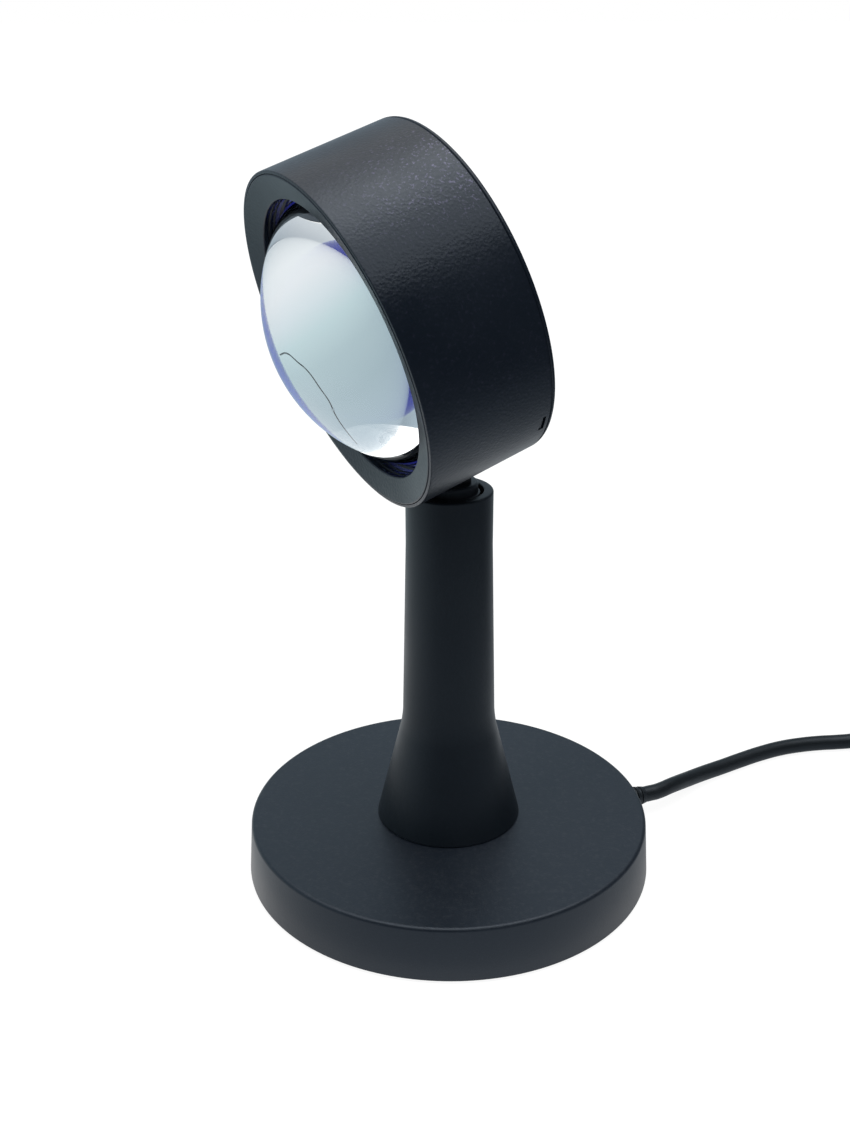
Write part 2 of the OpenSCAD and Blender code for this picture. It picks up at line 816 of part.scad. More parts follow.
module reflector() {
    steps = 8;
    depth = cup_z - filter_front_z;
    color("#d9dcdf")
    in_head()
        rotate_extrude($fn = turn_fn)
            polygon(concat(
                [for (i = [0:steps]) let (t = i / steps)
                    [throat_r + (cup_mouth_r - throat_r) * t,
                        filter_front_z + depth * pow(t, 1.3)]],
                [[cup_mouth_r, gasket_z], [cup_flange_r, gasket_z], [cup_flange_r, cup_z],
                    [cup_mouth_r + cup_wall * 1.4, cup_z]],
                [for (i = [steps - 1:-1:1]) let (t = i / steps)
                    [throat_r + cup_wall * 1.6 + (cup_mouth_r - throat_r) * t,
                        filter_front_z - 0.6 + depth * pow(t, 1.3)]],
                [[collar_r, filter_front_z], [collar_r, collar_z],
                    [filter_r + run_gap, collar_z], [filter_r + run_gap, filter_front_z],
                    [throat_r, filter_front_z]]));
}

module filter_disc() {
    color("#e2764a", 0.7)
    in_head()
        translate([0, 0, filter_z])
            cylinder(r = filter_r, h = filter_t, $fn = turn_fn);
}

module filter_clip() {
    color("#9fa3a8")
    in_head()
        difference() {
            ring(filter_r, filter_r - 1.2, filter_z - clip_t, clip_t);
            translate([0, -1.5, filter_z - clip_t - over])
                cube([filter_r + over, 3, clip_t + 2 * over]);
        }
}

module led_board() {
    color("#e6e6e0")
    in_head()
        difference() {
            translate([0, 0, sink_face_z])
                cylinder(r = led_board_r, h = led_board_t, $fn = turn_fn);
            for (a = [45:90:315])
                rotate(a)
                    translate([led_board_r, 0, sink_face_z - over])
                        cylinder(r = 1.3, h = led_board_t + 2 * over, $fn = small_fn);
        }
}

module led_chip() {
    color("#e8c73a")
    in_head() {
        translate([-led_size / 2, -led_size / 2, led_z]) cube([led_size, led_size, led_t]);
        translate([0, 0, led_z + led_t / 2]) cylinder(r = 2.6, h = led_t, $fn = small_fn);
    }
}

module heat_sink() {
    fin_h = sink_face_z - sink_t - cover_z;
    color("#b9bdc1")
    in_head()
        difference() {
            union() {
                translate([0, 0, sink_face_z - sink_t])
                    cylinder(r = sink_r, h = sink_t, $fn = turn_fn);
                translate([0, 0, cover_z]) cylinder(r = 5, h = fin_h + 1, $fn = small_fn);
                for (i = [0:fin_count - 1])
                    rotate(360 * (i + 0.5) / fin_count)
                        translate([3, -fin_t / 2, cover_z])
                            cube([sink_r - 3.6, fin_t, fin_h + 1]);
            }
            around([90, 270], sink_screw_at) {
                drill(sink_screw_d / 2 + run_gap, cover_z - over, -cover_z);
                drill(sink_boss_r + slip_gap, cover_z - over, fin_h + over);
            }
        }
}

module heat_sink_screws() {
    color("#9a9da1")
    in_head()
        around([90, 270], sink_screw_at)
            translate([0, 0, sink_face_z])
                rotate([180, 0, 0])
                    pan_screw(sink_screw_d, sink_screw_l, sink_screw_head_r, sink_screw_head_h);
}

module rear_cover() {
    color("#3b4046")
    in_head()
        difference() {
            union() {
                rotate_extrude($fn = turn_fn)
                    polygon(concat(
                        [[0, rear_z]],
                        arc(drum_r - 0.9, rear_z + 0.9, 0.9, -90, 0, 4),
                        [[drum_r, cover_z - 0.05 - seam / 2], [drum_r - seam, cover_z - 0.05],
                            [drum_r - seam - 0.05, cover_z], [0, cover_z]]));
                ring(spigot_out_r, spigot_in_r, cover_z - 0.5, spigot_top_z - cover_z + 0.5);
                around([90, 270], sink_screw_at)
                    drill(sink_boss_r, cover_z - 0.5,
                        sink_face_z - sink_t - cover_z + 0.5);
                for (a = latch_at) rotate(a) latch_finger(a);
            }
            // room for the bracket, and a slit on each side of each latch finger
            translate([0, -bracket_clear_w / 2, cover_z])
                cube([drum_r, bracket_clear_w, -rear_z]);
            for (a = latch_at) rotate(a)
                for (y = [-latch_w / 2 - 0.6, latch_w / 2 - 0.2])
                    translate([spigot_in_r - over, y, cover_z])
                        cube([4, 0.8, -rear_z]);
            around([90, 270], sink_screw_at)
                drill(sink_screw_d / 2 + run_gap, cover_z - 0.2, -rear_z);
        }
}

// The hook of a latch finger: its face fills the window but for a thin slit
module latch_finger(a) {
    reach_r = a == 180 ? bore_r + 1 : drum_r - 0.25;
    latch_block(latch_low_z + latch_slit, latch_top_z - latch_gap, spigot_out_r - 0.6, reach_r,
        latch_w - 2 * latch_gap);
}

module hinge_bracket() {
    rail_w = 2 * ear_out;
    rear_end = gate_rear - foot_l;
    front_end = gate_front + foot_l;
    color("#a4a8ad")
    in_head()
        difference() {
            union() {
                translate([bracket_in_x, -ear_out, rear_end])
                    cube([bracket_t, rail_w, front_end - rear_end]);
                for (z = [rear_end, gate_front])
                    translate([bracket_in_x, -foot_w, z]) cube([bracket_t, 2 * foot_w, foot_l]);
                for (y = [-ear_out, ear_in]) {
                    translate([pivot_x, y + ear_t, -pivot_back])
                        rotate([90, 0, 0]) cylinder(r = ear_r, h = ear_t, $fn = turn_fn);
                    translate([pivot_x, y, -pivot_back - ear_r])
                        cube([bracket_out_x - pivot_x, ear_t, 2 * ear_r]);
                }
            }
            translate([pivot_x, -ear_in, gate_rear])
                cube([drum_r, 2 * ear_in, gate_front - gate_rear]);
            translate([pivot_x, ear_out + over, -pivot_back])
                rotate([90, 0, 0])
                    cylinder(r = pin_r + 0.02, h = rail_w + 2 * over, $fn = small_fn);
            foot_bosses(foot_screw_d / 2 + run_gap, bracket_in_x - over, bracket_out_x + over);
        }
}

module bracket_screws() {
    color("#9a9da1")
    in_head()
        for (y = [-foot_screw_y, foot_screw_y])
            for (z = [gate_rear - foot_l / 2, gate_front + foot_l / 2])
                translate([bracket_in_x, y, z])
                    rotate([0, 90, 0])
                        pan_screw(foot_screw_d, foot_screw_l, foot_screw_head_r,
                            foot_screw_head_h);
}

module hinge_pin() {
    color("#c2c5c9")
    in_head()
        translate([pivot_x, 0, -pivot_back])
            rotate([90, 0, 0]) {
                translate([0, 0, -ear_out])
                    cylinder(r = pin_r, h = 2 * ear_out, $fn = small_fn);
                for (s = [-1, 1])
                    translate([0, 0, s * (ear_out + pin_head_t / 2) - pin_head_t / 2])
                        cylinder(r = pin_head_r, h = pin_head_t, $fn = small_fn);
            }
}

module hinge_washers() {
    color("#b4b8bc")
    in_head()
        translate([pivot_x, 0, -pivot_back])
            rotate([90, 0, 0])
                for (z = [pivot_y_gap + run_gap / 2, -pivot_y_gap - run_gap / 2 - washer_t])
                    ring(3.5, pin_r + run_gap, z, washer_t);
}

module head_lead() {
    color("#7a2a24")
    in_head()
        tube([[led_board_r, 0, sink_face_z + head_lead_r + run_gap],
            [sink_r - 2, 0, sink_face_z + head_lead_r + run_gap],
            [sink_r + 1.2, 0, sink_face_z + head_lead_r],
            [sink_r + 4, 0, sink_face_z - 0.5], [sink_r + 7, 0, sink_face_z - 1.9],
            [pivot_x - 7, 0, sink_face_z - 3.3], [pivot_x - 5, 0, sink_face_z - 3.5]],
            head_lead_r, up = [0, 1, 0]);
}

// ---- Cord, inline switch and plug ----

module cord() {
    color("#24272a") tube(smooth(cord_route, 2), cord_d / 2, 10);
}

module cord_mid() {
    color("#24272a") tube(smooth(mid_route, 2), cord_d / 2, 10);
}

module cord_tail() {
    color("#24272a") tube(smooth(tail_route, 2), cord_d / 2, 10);
}

module cord_coil() {
    color("#24272a")
        translate([coil_x, coil_y, 0])
            rotate_extrude($fn = turn_fn)
                translate([coil_mid_r - coil_w / 2, tie_t])
                    polygon(concat(arc(coil_w - 1.5, coil_h - 1.5, 1.5, 0, 90, 2),
                        arc(1.5, coil_h - 1.5, 1.5, 90, 180, 2), arc(1.5, 1.5, 1.5, 180, 270, 2),
                        arc(coil_w - 1.5, 1.5, 1.5, 270, 360, 2)));
}

module coil_tie() {
    color("#2c2f33")
        translate([coil_x, coil_y, 0])
            rotate(tie_at)
                translate([coil_mid_r, 0, 0])
                    difference() {
                        translate([-coil_w / 2 - tie_t, -tie_w / 2, 0])
                            cube([coil_w + 2 * tie_t, tie_w, coil_h + 2 * tie_t]);
                        translate([-coil_w / 2 - 0.3, -tie_w, tie_t])
                            cube([coil_w + 0.6, 2 * tie_w, coil_h]);
                    }
}

// The outline of the switch, seen from above, with round corners
module switch_outline(inset, z, h) {
    x0 = switch_x + inset;
    x1 = switch_x + switch_l - inset;
    y0 = switch_y - switch_w / 2 + inset;
    y1 = switch_y + switch_w / 2 - inset;
    c = switch_corner - inset;
    translate([0, 0, z])
        linear_extrude(h)
            union() {
                translate([x0 + c, y0]) square([x1 - x0 - 2 * c, y1 - y0]);
                translate([x0, y0 + c]) square([x1 - x0, y1 - y0 - 2 * c]);
                for (x = [x0 + c, x1 - c]) for (y = [y0 + c, y1 - c])
                    translate([x, y]) circle(r = c, $fn = small_fn);
            }
}

module switch_hollow() {
    switch_outline(switch_wall, switch_wall, switch_h - 2 * switch_wall);
    // the cord's two ends sit in round mouths
    translate([switch_x - over, switch_y, switch_axis_z])
        rotate([0, 90, 0]) cylinder(d = cord_d + 0.3, h = switch_l + 2 * over, $fn = small_fn);
}

module switch_lower_shell() {
    color("#1f2123")
    difference() {
        union() {
            switch_outline(0.4, 0, 0.5);
            switch_outline(0, 0.4, switch_split - 0.4);
        }
        switch_hollow();
    }
}

module switch_upper_shell() {
    color("#1f2123")
    difference() {
        union() {
            switch_outline(0, switch_split, switch_h - switch_split - 1.2);
            switch_outline(0.5, switch_h - 1.3, 0.8);
            switch_outline(1.1, switch_h - 0.6, 0.6);
        }
        switch_hollow();
        button_shape(button_gap, switch_h - switch_wall - over, switch_wall + 2 * over);
    }
}

module button_shape(grow, z, h) {
    run = (button_l - button_w) / 2;
    translate([switch_x + switch_l / 2, switch_y, z])
        linear_extrude(h)
            union() {
                square([2 * run, button_w + 2 * grow], center = true);
                for (x = [-run, run])
                    translate([x, 0]) circle(r = button_w / 2 + grow, $fn = small_fn);
            }
}

module switch_button() {
    skirt_z = switch_h - switch_wall - 1.1;
    color("#2b2e31")
        union() {
            button_shape(0, skirt_z + 0.3, button_top - skirt_z - 0.6);
            button_shape(-0.4, button_top - 0.5, 0.5);
            // the skirt keeps the button in its shell
            button_shape(0.7, skirt_z, 0.9);
        }
}

module switch_board() {
    x = switch_x + switch_l / 2;
    skirt_z = switch_h - switch_wall - 1.1;
    color("#2f6b45")
        union() {
            translate([switch_x + switch_wall + 3, switch_y - 6, switch_wall])
                cube([2, 12, switch_board_z - switch_wall + 0.2]);
            translate([switch_x + switch_l - switch_wall - 5, switch_y - 6, switch_wall])
                cube([2, 12, switch_board_z - switch_wall + 0.2]);
            translate([switch_x + switch_wall + 3, switch_y - 6, switch_board_z])
                cube([switch_l - 2 * switch_wall - 6, 12, switch_board_t]);
            translate([x - 3, switch_y - 3, switch_board_z + switch_board_t - 0.2])
                cube([6, 6, 1.2]);
            translate([x, switch_y, switch_board_z + switch_board_t])
                cylinder(r = 1.5, h = skirt_z - button_travel - 0.1
                    - switch_board_z - switch_board_t, $fn = small_fn);
        }
}

// A bar along -X with round long edges, centred on the plug's axis
module plug_bar(x_from, length, w, h, edge) {
    translate([x_from, plug_y, plug_z])
        rotate([0, -90, 0])
            linear_extrude(length)
                union() {
                    square([h - 2 * edge, w], center = true);
                    square([h, w - 2 * edge], center = true);
                    for (x = [-h / 2 + edge, h / 2 - edge])
                        for (y = [-w / 2 + edge, w / 2 - edge])
                            translate([x, y]) circle(r = edge, $fn = small_fn);
                }
}

module usb_plug_body() {
    grip_x = plug_x - plug_boot_l;
    color("#1f2123")
    difference() {
        union() {
            translate([plug_x, plug_y, plug_z])
                rotate([0, -90, 0])
                    cylinder(r1 = cord_d / 2 + 0.5, r2 = 3.7, h = plug_boot_l + 0.5,
                        $fn = small_fn);
            plug_bar(grip_x, plug_grip_l, plug_w, plug_h, 1.5);
        }
        for (s = [-1, 1]) for (i = [0:2])
            translate([grip_x - 5 - i * 2.5, plug_y + s * (plug_w / 2 + 0.2), plug_z])
                cube([1.2, 1.2, plug_h + 2], center = true);
        plug_bar(grip_x - plug_grip_l + 3, 4, usb_w + 0.02, usb_h + 0.02, 0.4);
    }
}

module usb_plug_shell() {
    x = plug_x - plug_boot_l - plug_grip_l;
    color("#c9ccd0")
    difference() {
        plug_bar(x + 3, usb_l + 3, usb_w, usb_h, 0.4);
        plug_bar(x - over, usb_l + over, usb_w - 2 * usb_wall, usb_h - 2 * usb_wall, 0.2);
        for (s = [-1, 1])
            translate([x - usb_l / 2, plug_y + s * 3, plug_z + usb_h / 2])
                cube([2.2, 2.2, 2], center = true);
    }
}

module usb_plug_tongue() {
    x = plug_x - plug_boot_l - plug_grip_l;
    color("#e9e9e6")
        translate([x - usb_l + 0.4, plug_y - usb_w / 2 + usb_wall + 0.3,
            plug_z - usb_h / 2 + usb_wall])
            cube([usb_l - 1.4, usb_w - 2 * usb_wall - 0.6, usb_tongue_h]);
}

base_shell();
base_plate();
base_pad();
base_weight();
base_screws();
driver_board();
board_screws();
strain_relief();
inlet_lead();
stem();
stem_screws();
stem_lead();
pan_washer();
cord();
cord_mid();
cord_coil();
cord_tail();
coil_tie();
switch_lower_shell();
switch_upper_shell();
switch_board();
switch_button();
usb_plug_body();
usb_plug_shell();
usb_plug_tongue();
hinge_tongue();
neck_collar();
stop_washer();
pan_spring();
pan_nut();
post_lead();
head_housing();
front_bezel();
lens();
lens_gasket();
reflector();
filter_disc();
filter_clip();
led_board();
led_chip();
heat_sink();
heat_sink_screws();
rear_cover();
hinge_bracket();
bracket_screws();
hinge_pin();
hinge_washers();
head_lead();
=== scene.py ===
# %% [markdown]
# # A sunset projection lamp
# The lamp is a drum with a domed lens, on a tapered stem over a round, weighted base. Its solids
# come from the CAD model, in metres and in one shared frame. This lesson adds what the solids
# can't show: the soft edges of moulded plastic, its fine grain, the glass, and a cord that lies
# as a real one does.

import math

import bmesh
import bpy
from mathutils import Matrix, Vector


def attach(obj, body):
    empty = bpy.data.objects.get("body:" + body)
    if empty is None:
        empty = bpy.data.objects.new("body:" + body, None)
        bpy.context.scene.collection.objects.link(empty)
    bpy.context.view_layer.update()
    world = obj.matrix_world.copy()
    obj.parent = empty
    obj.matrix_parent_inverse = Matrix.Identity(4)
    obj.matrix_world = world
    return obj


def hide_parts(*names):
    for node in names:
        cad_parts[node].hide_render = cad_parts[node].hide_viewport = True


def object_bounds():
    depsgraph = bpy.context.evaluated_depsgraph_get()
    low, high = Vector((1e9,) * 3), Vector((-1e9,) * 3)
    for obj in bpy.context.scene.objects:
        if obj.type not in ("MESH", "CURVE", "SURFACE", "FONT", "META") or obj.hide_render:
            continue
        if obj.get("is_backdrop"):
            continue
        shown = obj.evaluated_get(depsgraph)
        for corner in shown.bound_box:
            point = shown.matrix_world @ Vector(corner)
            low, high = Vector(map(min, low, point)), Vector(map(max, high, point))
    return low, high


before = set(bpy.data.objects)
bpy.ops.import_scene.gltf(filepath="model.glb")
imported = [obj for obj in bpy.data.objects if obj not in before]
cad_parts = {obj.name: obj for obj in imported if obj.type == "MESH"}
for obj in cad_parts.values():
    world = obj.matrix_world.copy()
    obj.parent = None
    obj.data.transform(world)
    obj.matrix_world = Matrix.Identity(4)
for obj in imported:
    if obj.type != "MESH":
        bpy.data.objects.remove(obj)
cad_low, cad_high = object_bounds()

# %% [markdown]
# ## The camera
# The photograph looks down on the lamp by almost 23 degrees, from about 31 cm in front of it.
# The base's ellipse gives the tilt, and the drum's two ellipses give the distance. The camera
# could be aimed at a target, but its own three axes, written down as a matrix, also hold the
# slight roll.

# %% Place the camera
CAMERA_AT = Vector((-0.00563, -0.30788, 0.20846))
LOOK_DOWN = math.radians(22.69)
ROLL = math.radians(-0.22)
FOCAL_LENGTH = 45.45


def add_object(name, data):
    made = bpy.data.objects.new(name, data)
    bpy.context.scene.collection.objects.link(made)
    return made


backwards = Vector((0, -math.cos(LOOK_DOWN), math.sin(LOOK_DOWN)))
level_right = Vector((1, 0, 0))
level_up = Vector((0, math.sin(LOOK_DOWN), math.cos(LOOK_DOWN)))
camera_right = level_right * math.cos(ROLL) + level_up * math.sin(ROLL)
camera_up = level_up * math.cos(ROLL) - level_right * math.sin(ROLL)

camera_data = bpy.data.cameras.new("camera")
camera_data.sensor_width = 36
camera_data.lens = FOCAL_LENGTH
camera_data.clip_start, camera_data.clip_end = 0.01, 20
camera = add_object("camera", camera_data)
camera.matrix_world = (Matrix.Translation(CAMERA_AT)
                       @ Matrix((camera_right, camera_up, backwards)).transposed().to_4x4())
bpy.context.scene.camera = camera
print("camera height above the table: %.0f mm" % (CAMERA_AT.z * 1000))

# %% [markdown]
# ## The two lengths of cord
# A USB lead of 1.5 m leaves the base through a rubber boot, runs through an inline switch and
# ends in a plug. What the photograph doesn't show is wound into a neat coil. A curve with a
# round bevel is the plainest way to make a cord: its own line is the centreline, and automatic
# handles pass a smooth bend through the listed points.

# %% Turn a list of points into a cord
MM = 0.001
CORD_THICKNESS = 4.2
CORD_STEPS = 6


def curve_through(name, points, thickness, steps_between):
    curve = bpy.data.curves.new(name, "CURVE")
    curve.dimensions = "3D"
    curve.resolution_u = steps_between
    curve.bevel_depth = thickness / 2 * MM
    curve.bevel_resolution = 4
    curve.use_fill_caps = True
    spline = curve.splines.new("BEZIER")
    spline.bezier_points.add(len(points) - 1)
    for knot, point in zip(spline.bezier_points, points):
        knot.co = Vector(point) * MM
        knot.handle_left_type = knot.handle_right_type = "AUTO"
    made = add_object(name, curve)
    print("%s: %.0f mm" % (name, spline.calc_length() / MM))
    return made


# %% The stretch from the base to the switch
CORD_TURN = math.radians(22)
BOOT_TIP = 56.5
OUTLET_HEIGHT = 4.8
outlet_line = Vector((math.cos(CORD_TURN), math.sin(CORD_TURN), 0))
outlet = outlet_line * BOOT_TIP + Vector((0, 0, OUTLET_HEIGHT))
base_route = [
    outlet, outlet + outlet_line * 2, outlet + outlet_line * 4,
    (60.8, 26.2, 4.6), (65.8, 31, 3.5), (71, 35.6, 2.6), (77, 39.7, 2.2), (83, 43.5, 2.1),
    (89.5, 47.2, 2.1), (96, 50.2, 2.1), (102, 52, 2.1), (108, 53.1, 2.1), (113, 53.6, 2.1),
    (118, 54, 2.4), (123, 54.4, 3.8), (127, 54.6, 5.1), (130, 54.6, 5.5),
]
base_cord = curve_through("cord_from_base", base_route, CORD_THICKNESS, CORD_STEPS)

# %% [markdown]
# The coil has three columns and three rows, a cord's thickness apart. Each turn keeps to its
# lane for most of the way round and eases over to the next one at the same place, as a
# hand-wound coil does. The last turn climbs over the top and leads to the plug.

# %% The stretch from the switch to the plug
COIL_CENTRE = Vector((192, 29.5, 0))
LANES = [(27.2, 2.9), (23, 2.9), (18.8, 2.9), (18.8, 7.1), (23, 7.1), (27.2, 7.1),
         (27.2, 11.3), (23, 11.3), (18.8, 11.3)]
START_ANGLE = 90
STEPS_PER_TURN = 18
LAST_STEPS = 5
SHIFT_FROM = 0.7


def on_coil(degrees, radius, height):
    turn = math.radians(degrees)
    return COIL_CENTRE + Vector((radius * math.cos(turn), radius * math.sin(turn), height))


coil_route = []
for lane, (radius, height) in enumerate(LANES):
    last = lane == len(LANES) - 1
    to_radius, to_height = (radius, height) if last else LANES[lane + 1]
    for step in range(LAST_STEPS if last else STEPS_PER_TURN):
        shift = max(0, (step / STEPS_PER_TURN - SHIFT_FROM) / (1 - SHIFT_FROM))
        shift = shift * shift * (3 - 2 * shift)
        coil_route.append(on_coil(START_ANGLE - 360 * step / STEPS_PER_TURN,
                                  radius + (to_radius - radius) * shift,
                                  height + (to_height - height) * shift))

switch_route = [(168, 54.6, 5.5), (171, 54.7, 5.2), (175, 55.2, 4.1), (180, 56.1, 3.1),
                (186, 56.7, 2.9)]
climb = [on_coil(-12, 18.8, 11.6), on_coil(-26, 18.9, 12.6), on_coil(-39, 19.3, 13.9),
         on_coil(-51, 20.5, 15.1), on_coil(-62, 22.4, 15.5)]
plug_route = [(200, 6.5, 15.5), (196, 3, 15.6), (191, 0.6, 15.4), (185, -1.2, 14.4),
              (178, -2.5, 12.2), (171, -3, 8.9), (164, -3, 5.8), (157, -3, 4),
              (153.5, -3, 4), (150, -3, 4)]
plug_cord = curve_through("cord_to_plug", switch_route + coil_route + climb + plug_route,
                          CORD_THICKNESS, CORD_STEPS)

# %% [markdown]
# ## Helpers for turned and moulded pieces
# Most of this lamp is round, so most pieces start as an outline that is spun about an axis.
# Outlines are in millimetres, as (radius, height). Sharp rings are then bevelled, because an
# edge of moulded plastic always has a small radius that catches the light.

# %% Spin an outline
ROUND_STEPS = 144
WIDE_ROUND_STEPS = 180
MERGE_WITHIN = 0.0005


def turned(outline, loop=True, steps=ROUND_STEPS):
    shape = bmesh.new()
    corners = [shape.verts.new((radius, 0, height)) for radius, height in outline]
    ends = corners[1:] + corners[:1] if loop else corners[1:]
    lines = [shape.edges.new(pair) for pair in zip(corners, ends)]
    bmesh.ops.spin(shape, geom=corners + lines, cent=(0, 0, 0), axis=(0, 0, 1),
                   angle=2 * math.pi, steps=steps, use_merge=True)
    bmesh.ops.remove_doubles(shape, verts=shape.verts, dist=MERGE_WITHIN)
    bmesh.ops.recalc_face_normals(shape, faces=shape.faces)
    return shape


# %% Round one ring of edges
ON_RING = 0.02


def ring_edges(shape, radius, height):
    return [edge for edge in shape.edges
            if all(abs(vert.co.xy.length - radius) < ON_RING
                   and abs(vert.co.z - height) < ON_RING for vert in edge.verts)]


def round_ring(shape, radius, height, width, segments):
    edges = ring_edges(shape, radius, height)
    assert edges, ("no ring at", radius, height)
    bmesh.ops.bevel(shape, geom=edges, offset=width, offset_type="OFFSET", segments=segments,
                    profile=0.5, affect="EDGES", material=-1, clamp_overlap=True)


# %% [markdown]
# A finished piece is scaled to metres, put in its place and shaded smooth, with its corners
# kept sharp. The Weighted Normal modifier lets the large faces decide how light bends, so a
# flat face stays flat right up to its rounded edge.

# %% Finish a piece
def as_object(shape, name, look):
    mesh = bpy.data.meshes.new(name)
    shape.to_mesh(mesh)
    shape.free()
    mesh.materials.append(look)
    return add_object(name, mesh)


def finish_piece(shape, name, look, body, nodes, place=Matrix.Identity(4), sharp=40):
    bmesh.ops.transform(shape, matrix=Matrix.Scale(MM, 4) @ place, verts=shape.verts)
    for face in shape.faces:
        face.smooth = True
    for edge in shape.edges:
        edge.smooth = (len(edge.link_faces) == 2
                       and edge.calc_face_angle() < math.radians(sharp))
    piece = as_object(shape, name, look)
    weighted = piece.modifiers.new("weighted", "WEIGHTED_NORMAL")
    weighted.keep_sharp = True
    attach(piece, body)
    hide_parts(*nodes)
    print("%s: %d faces" % (name, len(piece.data.polygons)))
    return piece


# %% [markdown]
# The head is made lying on its own axis, with Z towards the lens and X pointing down at the
# hinge, and is then tipped and turned about the hinge pin as one.

# %% Where the head sits
HINGE_HEIGHT = 111
HINGE_INSET = 31.96
HINGE_BACK = 4.08
HEAD_TURN = math.radians(180 + 27.7)
HEAD_TIP = math.radians(90 + 17.8)
head_place = (Matrix.Translation((0, 0, HINGE_HEIGHT)) @ Matrix.Rotation(HEAD_TURN, 4, "Z")
              @ Matrix.Rotation(HEAD_TIP, 4, "Y")
              @ Matrix.Translation((-HINGE_INSET, 0, HINGE_BACK)))
lens_axis = head_place.to_3x3() @ Vector((0, 0, 1))
print("the lens points along", [round(value, 2) for value in lens_axis])

# %% [markdown]
# ## Finishes
# Black ABS is never just black. The mould is etched, so the surface has a fine grain that
# breaks up every highlight. Handling leaves it shinier here and duller there, and dust settles
# on what faces up. These three effects are shader node groups, because several materials use
# them with their own numbers.

# %% Small tools for node trees
def wire(tree, outlet_socket, inlet_socket):
    tree.links.new(outlet_socket, inlet_socket)


def feed(tree, value, socket):
    if isinstance(value, bpy.types.NodeSocket):
        wire(tree, value, socket)
    else:
        socket.default_value = value


def node_in(tree, kind, **values):
    made = tree.nodes.new(kind)
    for key, value in values.items():
        if key in made.inputs:
            made.inputs[key].default_value = value
        else:
            setattr(made, key, value)
    return made


def calculate(tree, operation, *values):
    made = node_in(tree, "ShaderNodeMath", operation=operation)
    for socket, value in zip(made.inputs, values):
        feed(tree, value, socket)
    return made.outputs[0]


def remap(tree, value, low, high, to_low=0.0, to_high=1.0, curve="LINEAR"):
    made = node_in(tree, "ShaderNodeMapRange", interpolation_type=curve)
    for title, number in (("From Min", low), ("From Max", high),
                          ("To Min", to_low), ("To Max", to_high)):
        made.inputs[title].default_value = number
    wire(tree, value, made.inputs["Value"])
    return made.outputs["Result"]


# %% Start a shader node group
def new_group(name, inputs, outputs):
    group = bpy.data.node_groups.new(name, "ShaderNodeTree")
    for in_out, sockets in (("INPUT", inputs), ("OUTPUT", outputs)):
        for title, kind in sockets:
            group.interface.new_socket(title, in_out=in_out, socket_type=kind)
    return group, group.nodes.new("NodeGroupInput"), group.nodes.new("NodeGroupOutput")


# %% [markdown]
# Pits and bumps of about the same size make the grain's height. The highest bumps are also
# given out on their own, as specks that catch the light.

# %% Etched grain
SPECKS_BETWEEN = (0.56, 0.74)
grain_group, grain_in, grain_out = new_group(
    "etched_grain", [("Place", "NodeSocketVector"), ("Size", "NodeSocketFloat")],
    [("Height", "NodeSocketFloat"), ("Speck", "NodeSocketFloat")])
pits = node_in(grain_group, "ShaderNodeTexVoronoi", Randomness=1.0)
bumps = node_in(grain_group, "ShaderNodeTexNoise", Detail=3.0, Roughness=0.6)
for texture in (pits, bumps):
    wire(grain_group, grain_in.outputs["Place"], texture.inputs["Vector"])
    wire(grain_group, grain_in.outputs["Size"], texture.inputs["Scale"])
both = calculate(grain_group, "ADD", pits.outputs["Distance"], bumps.outputs["Fac"])
wire(grain_group, calculate(grain_group, "MULTIPLY", both, 0.5), grain_out.inputs["Height"])
wire(grain_group, remap(grain_group, bumps.outputs["Fac"], *SPECKS_BETWEEN),
     grain_out.inputs["Speck"])
print("group:", grain_group.name)

# %% [markdown]
# Handling leaves two marks: broad patches, from soft noise, and short thin scuffs, from a noise
# that is squeezed in two directions and cut off so that only its crests stay.

# %% Handling marks
SCUFF_SQUEEZE = (9, 1.2, 9)
SCUFF_TILT = (0.3, 0.5, 0.9)
SCUFFS_BETWEEN = (0.64, 0.72)
wear_group, wear_in, wear_out = new_group(
    "handling_marks", [("Place", "NodeSocketVector"), ("Size", "NodeSocketFloat")],
    [("Patch", "NodeSocketFloat"), ("Scuff", "NodeSocketFloat")])
clouds = node_in(wear_group, "ShaderNodeTexNoise", Detail=4.0, Roughness=0.55)
wire(wear_group, wear_in.outputs["Place"], clouds.inputs["Vector"])
wire(wear_group, wear_in.outputs["Size"], clouds.inputs["Scale"])
wire(wear_group, clouds.outputs["Fac"], wear_out.inputs["Patch"])
scuffs_at = node_in(wear_group, "ShaderNodeMapping", Scale=SCUFF_SQUEEZE, Rotation=SCUFF_TILT)
scuffs = node_in(wear_group, "ShaderNodeTexNoise", Scale=70.0, Detail=2.0)
wire(wear_group, wear_in.outputs["Place"], scuffs_at.inputs["Vector"])
wire(wear_group, scuffs_at.outputs["Vector"], scuffs.inputs["Vector"])
wire(wear_group, remap(wear_group, scuffs.outputs["Fac"], *SCUFFS_BETWEEN),
     wear_out.inputs["Scuff"])
print("group:", wear_group.name)

# %% [markdown]
# Dust settles only on what faces up, so its mask is the upward part of the normal times a
# broken noise.

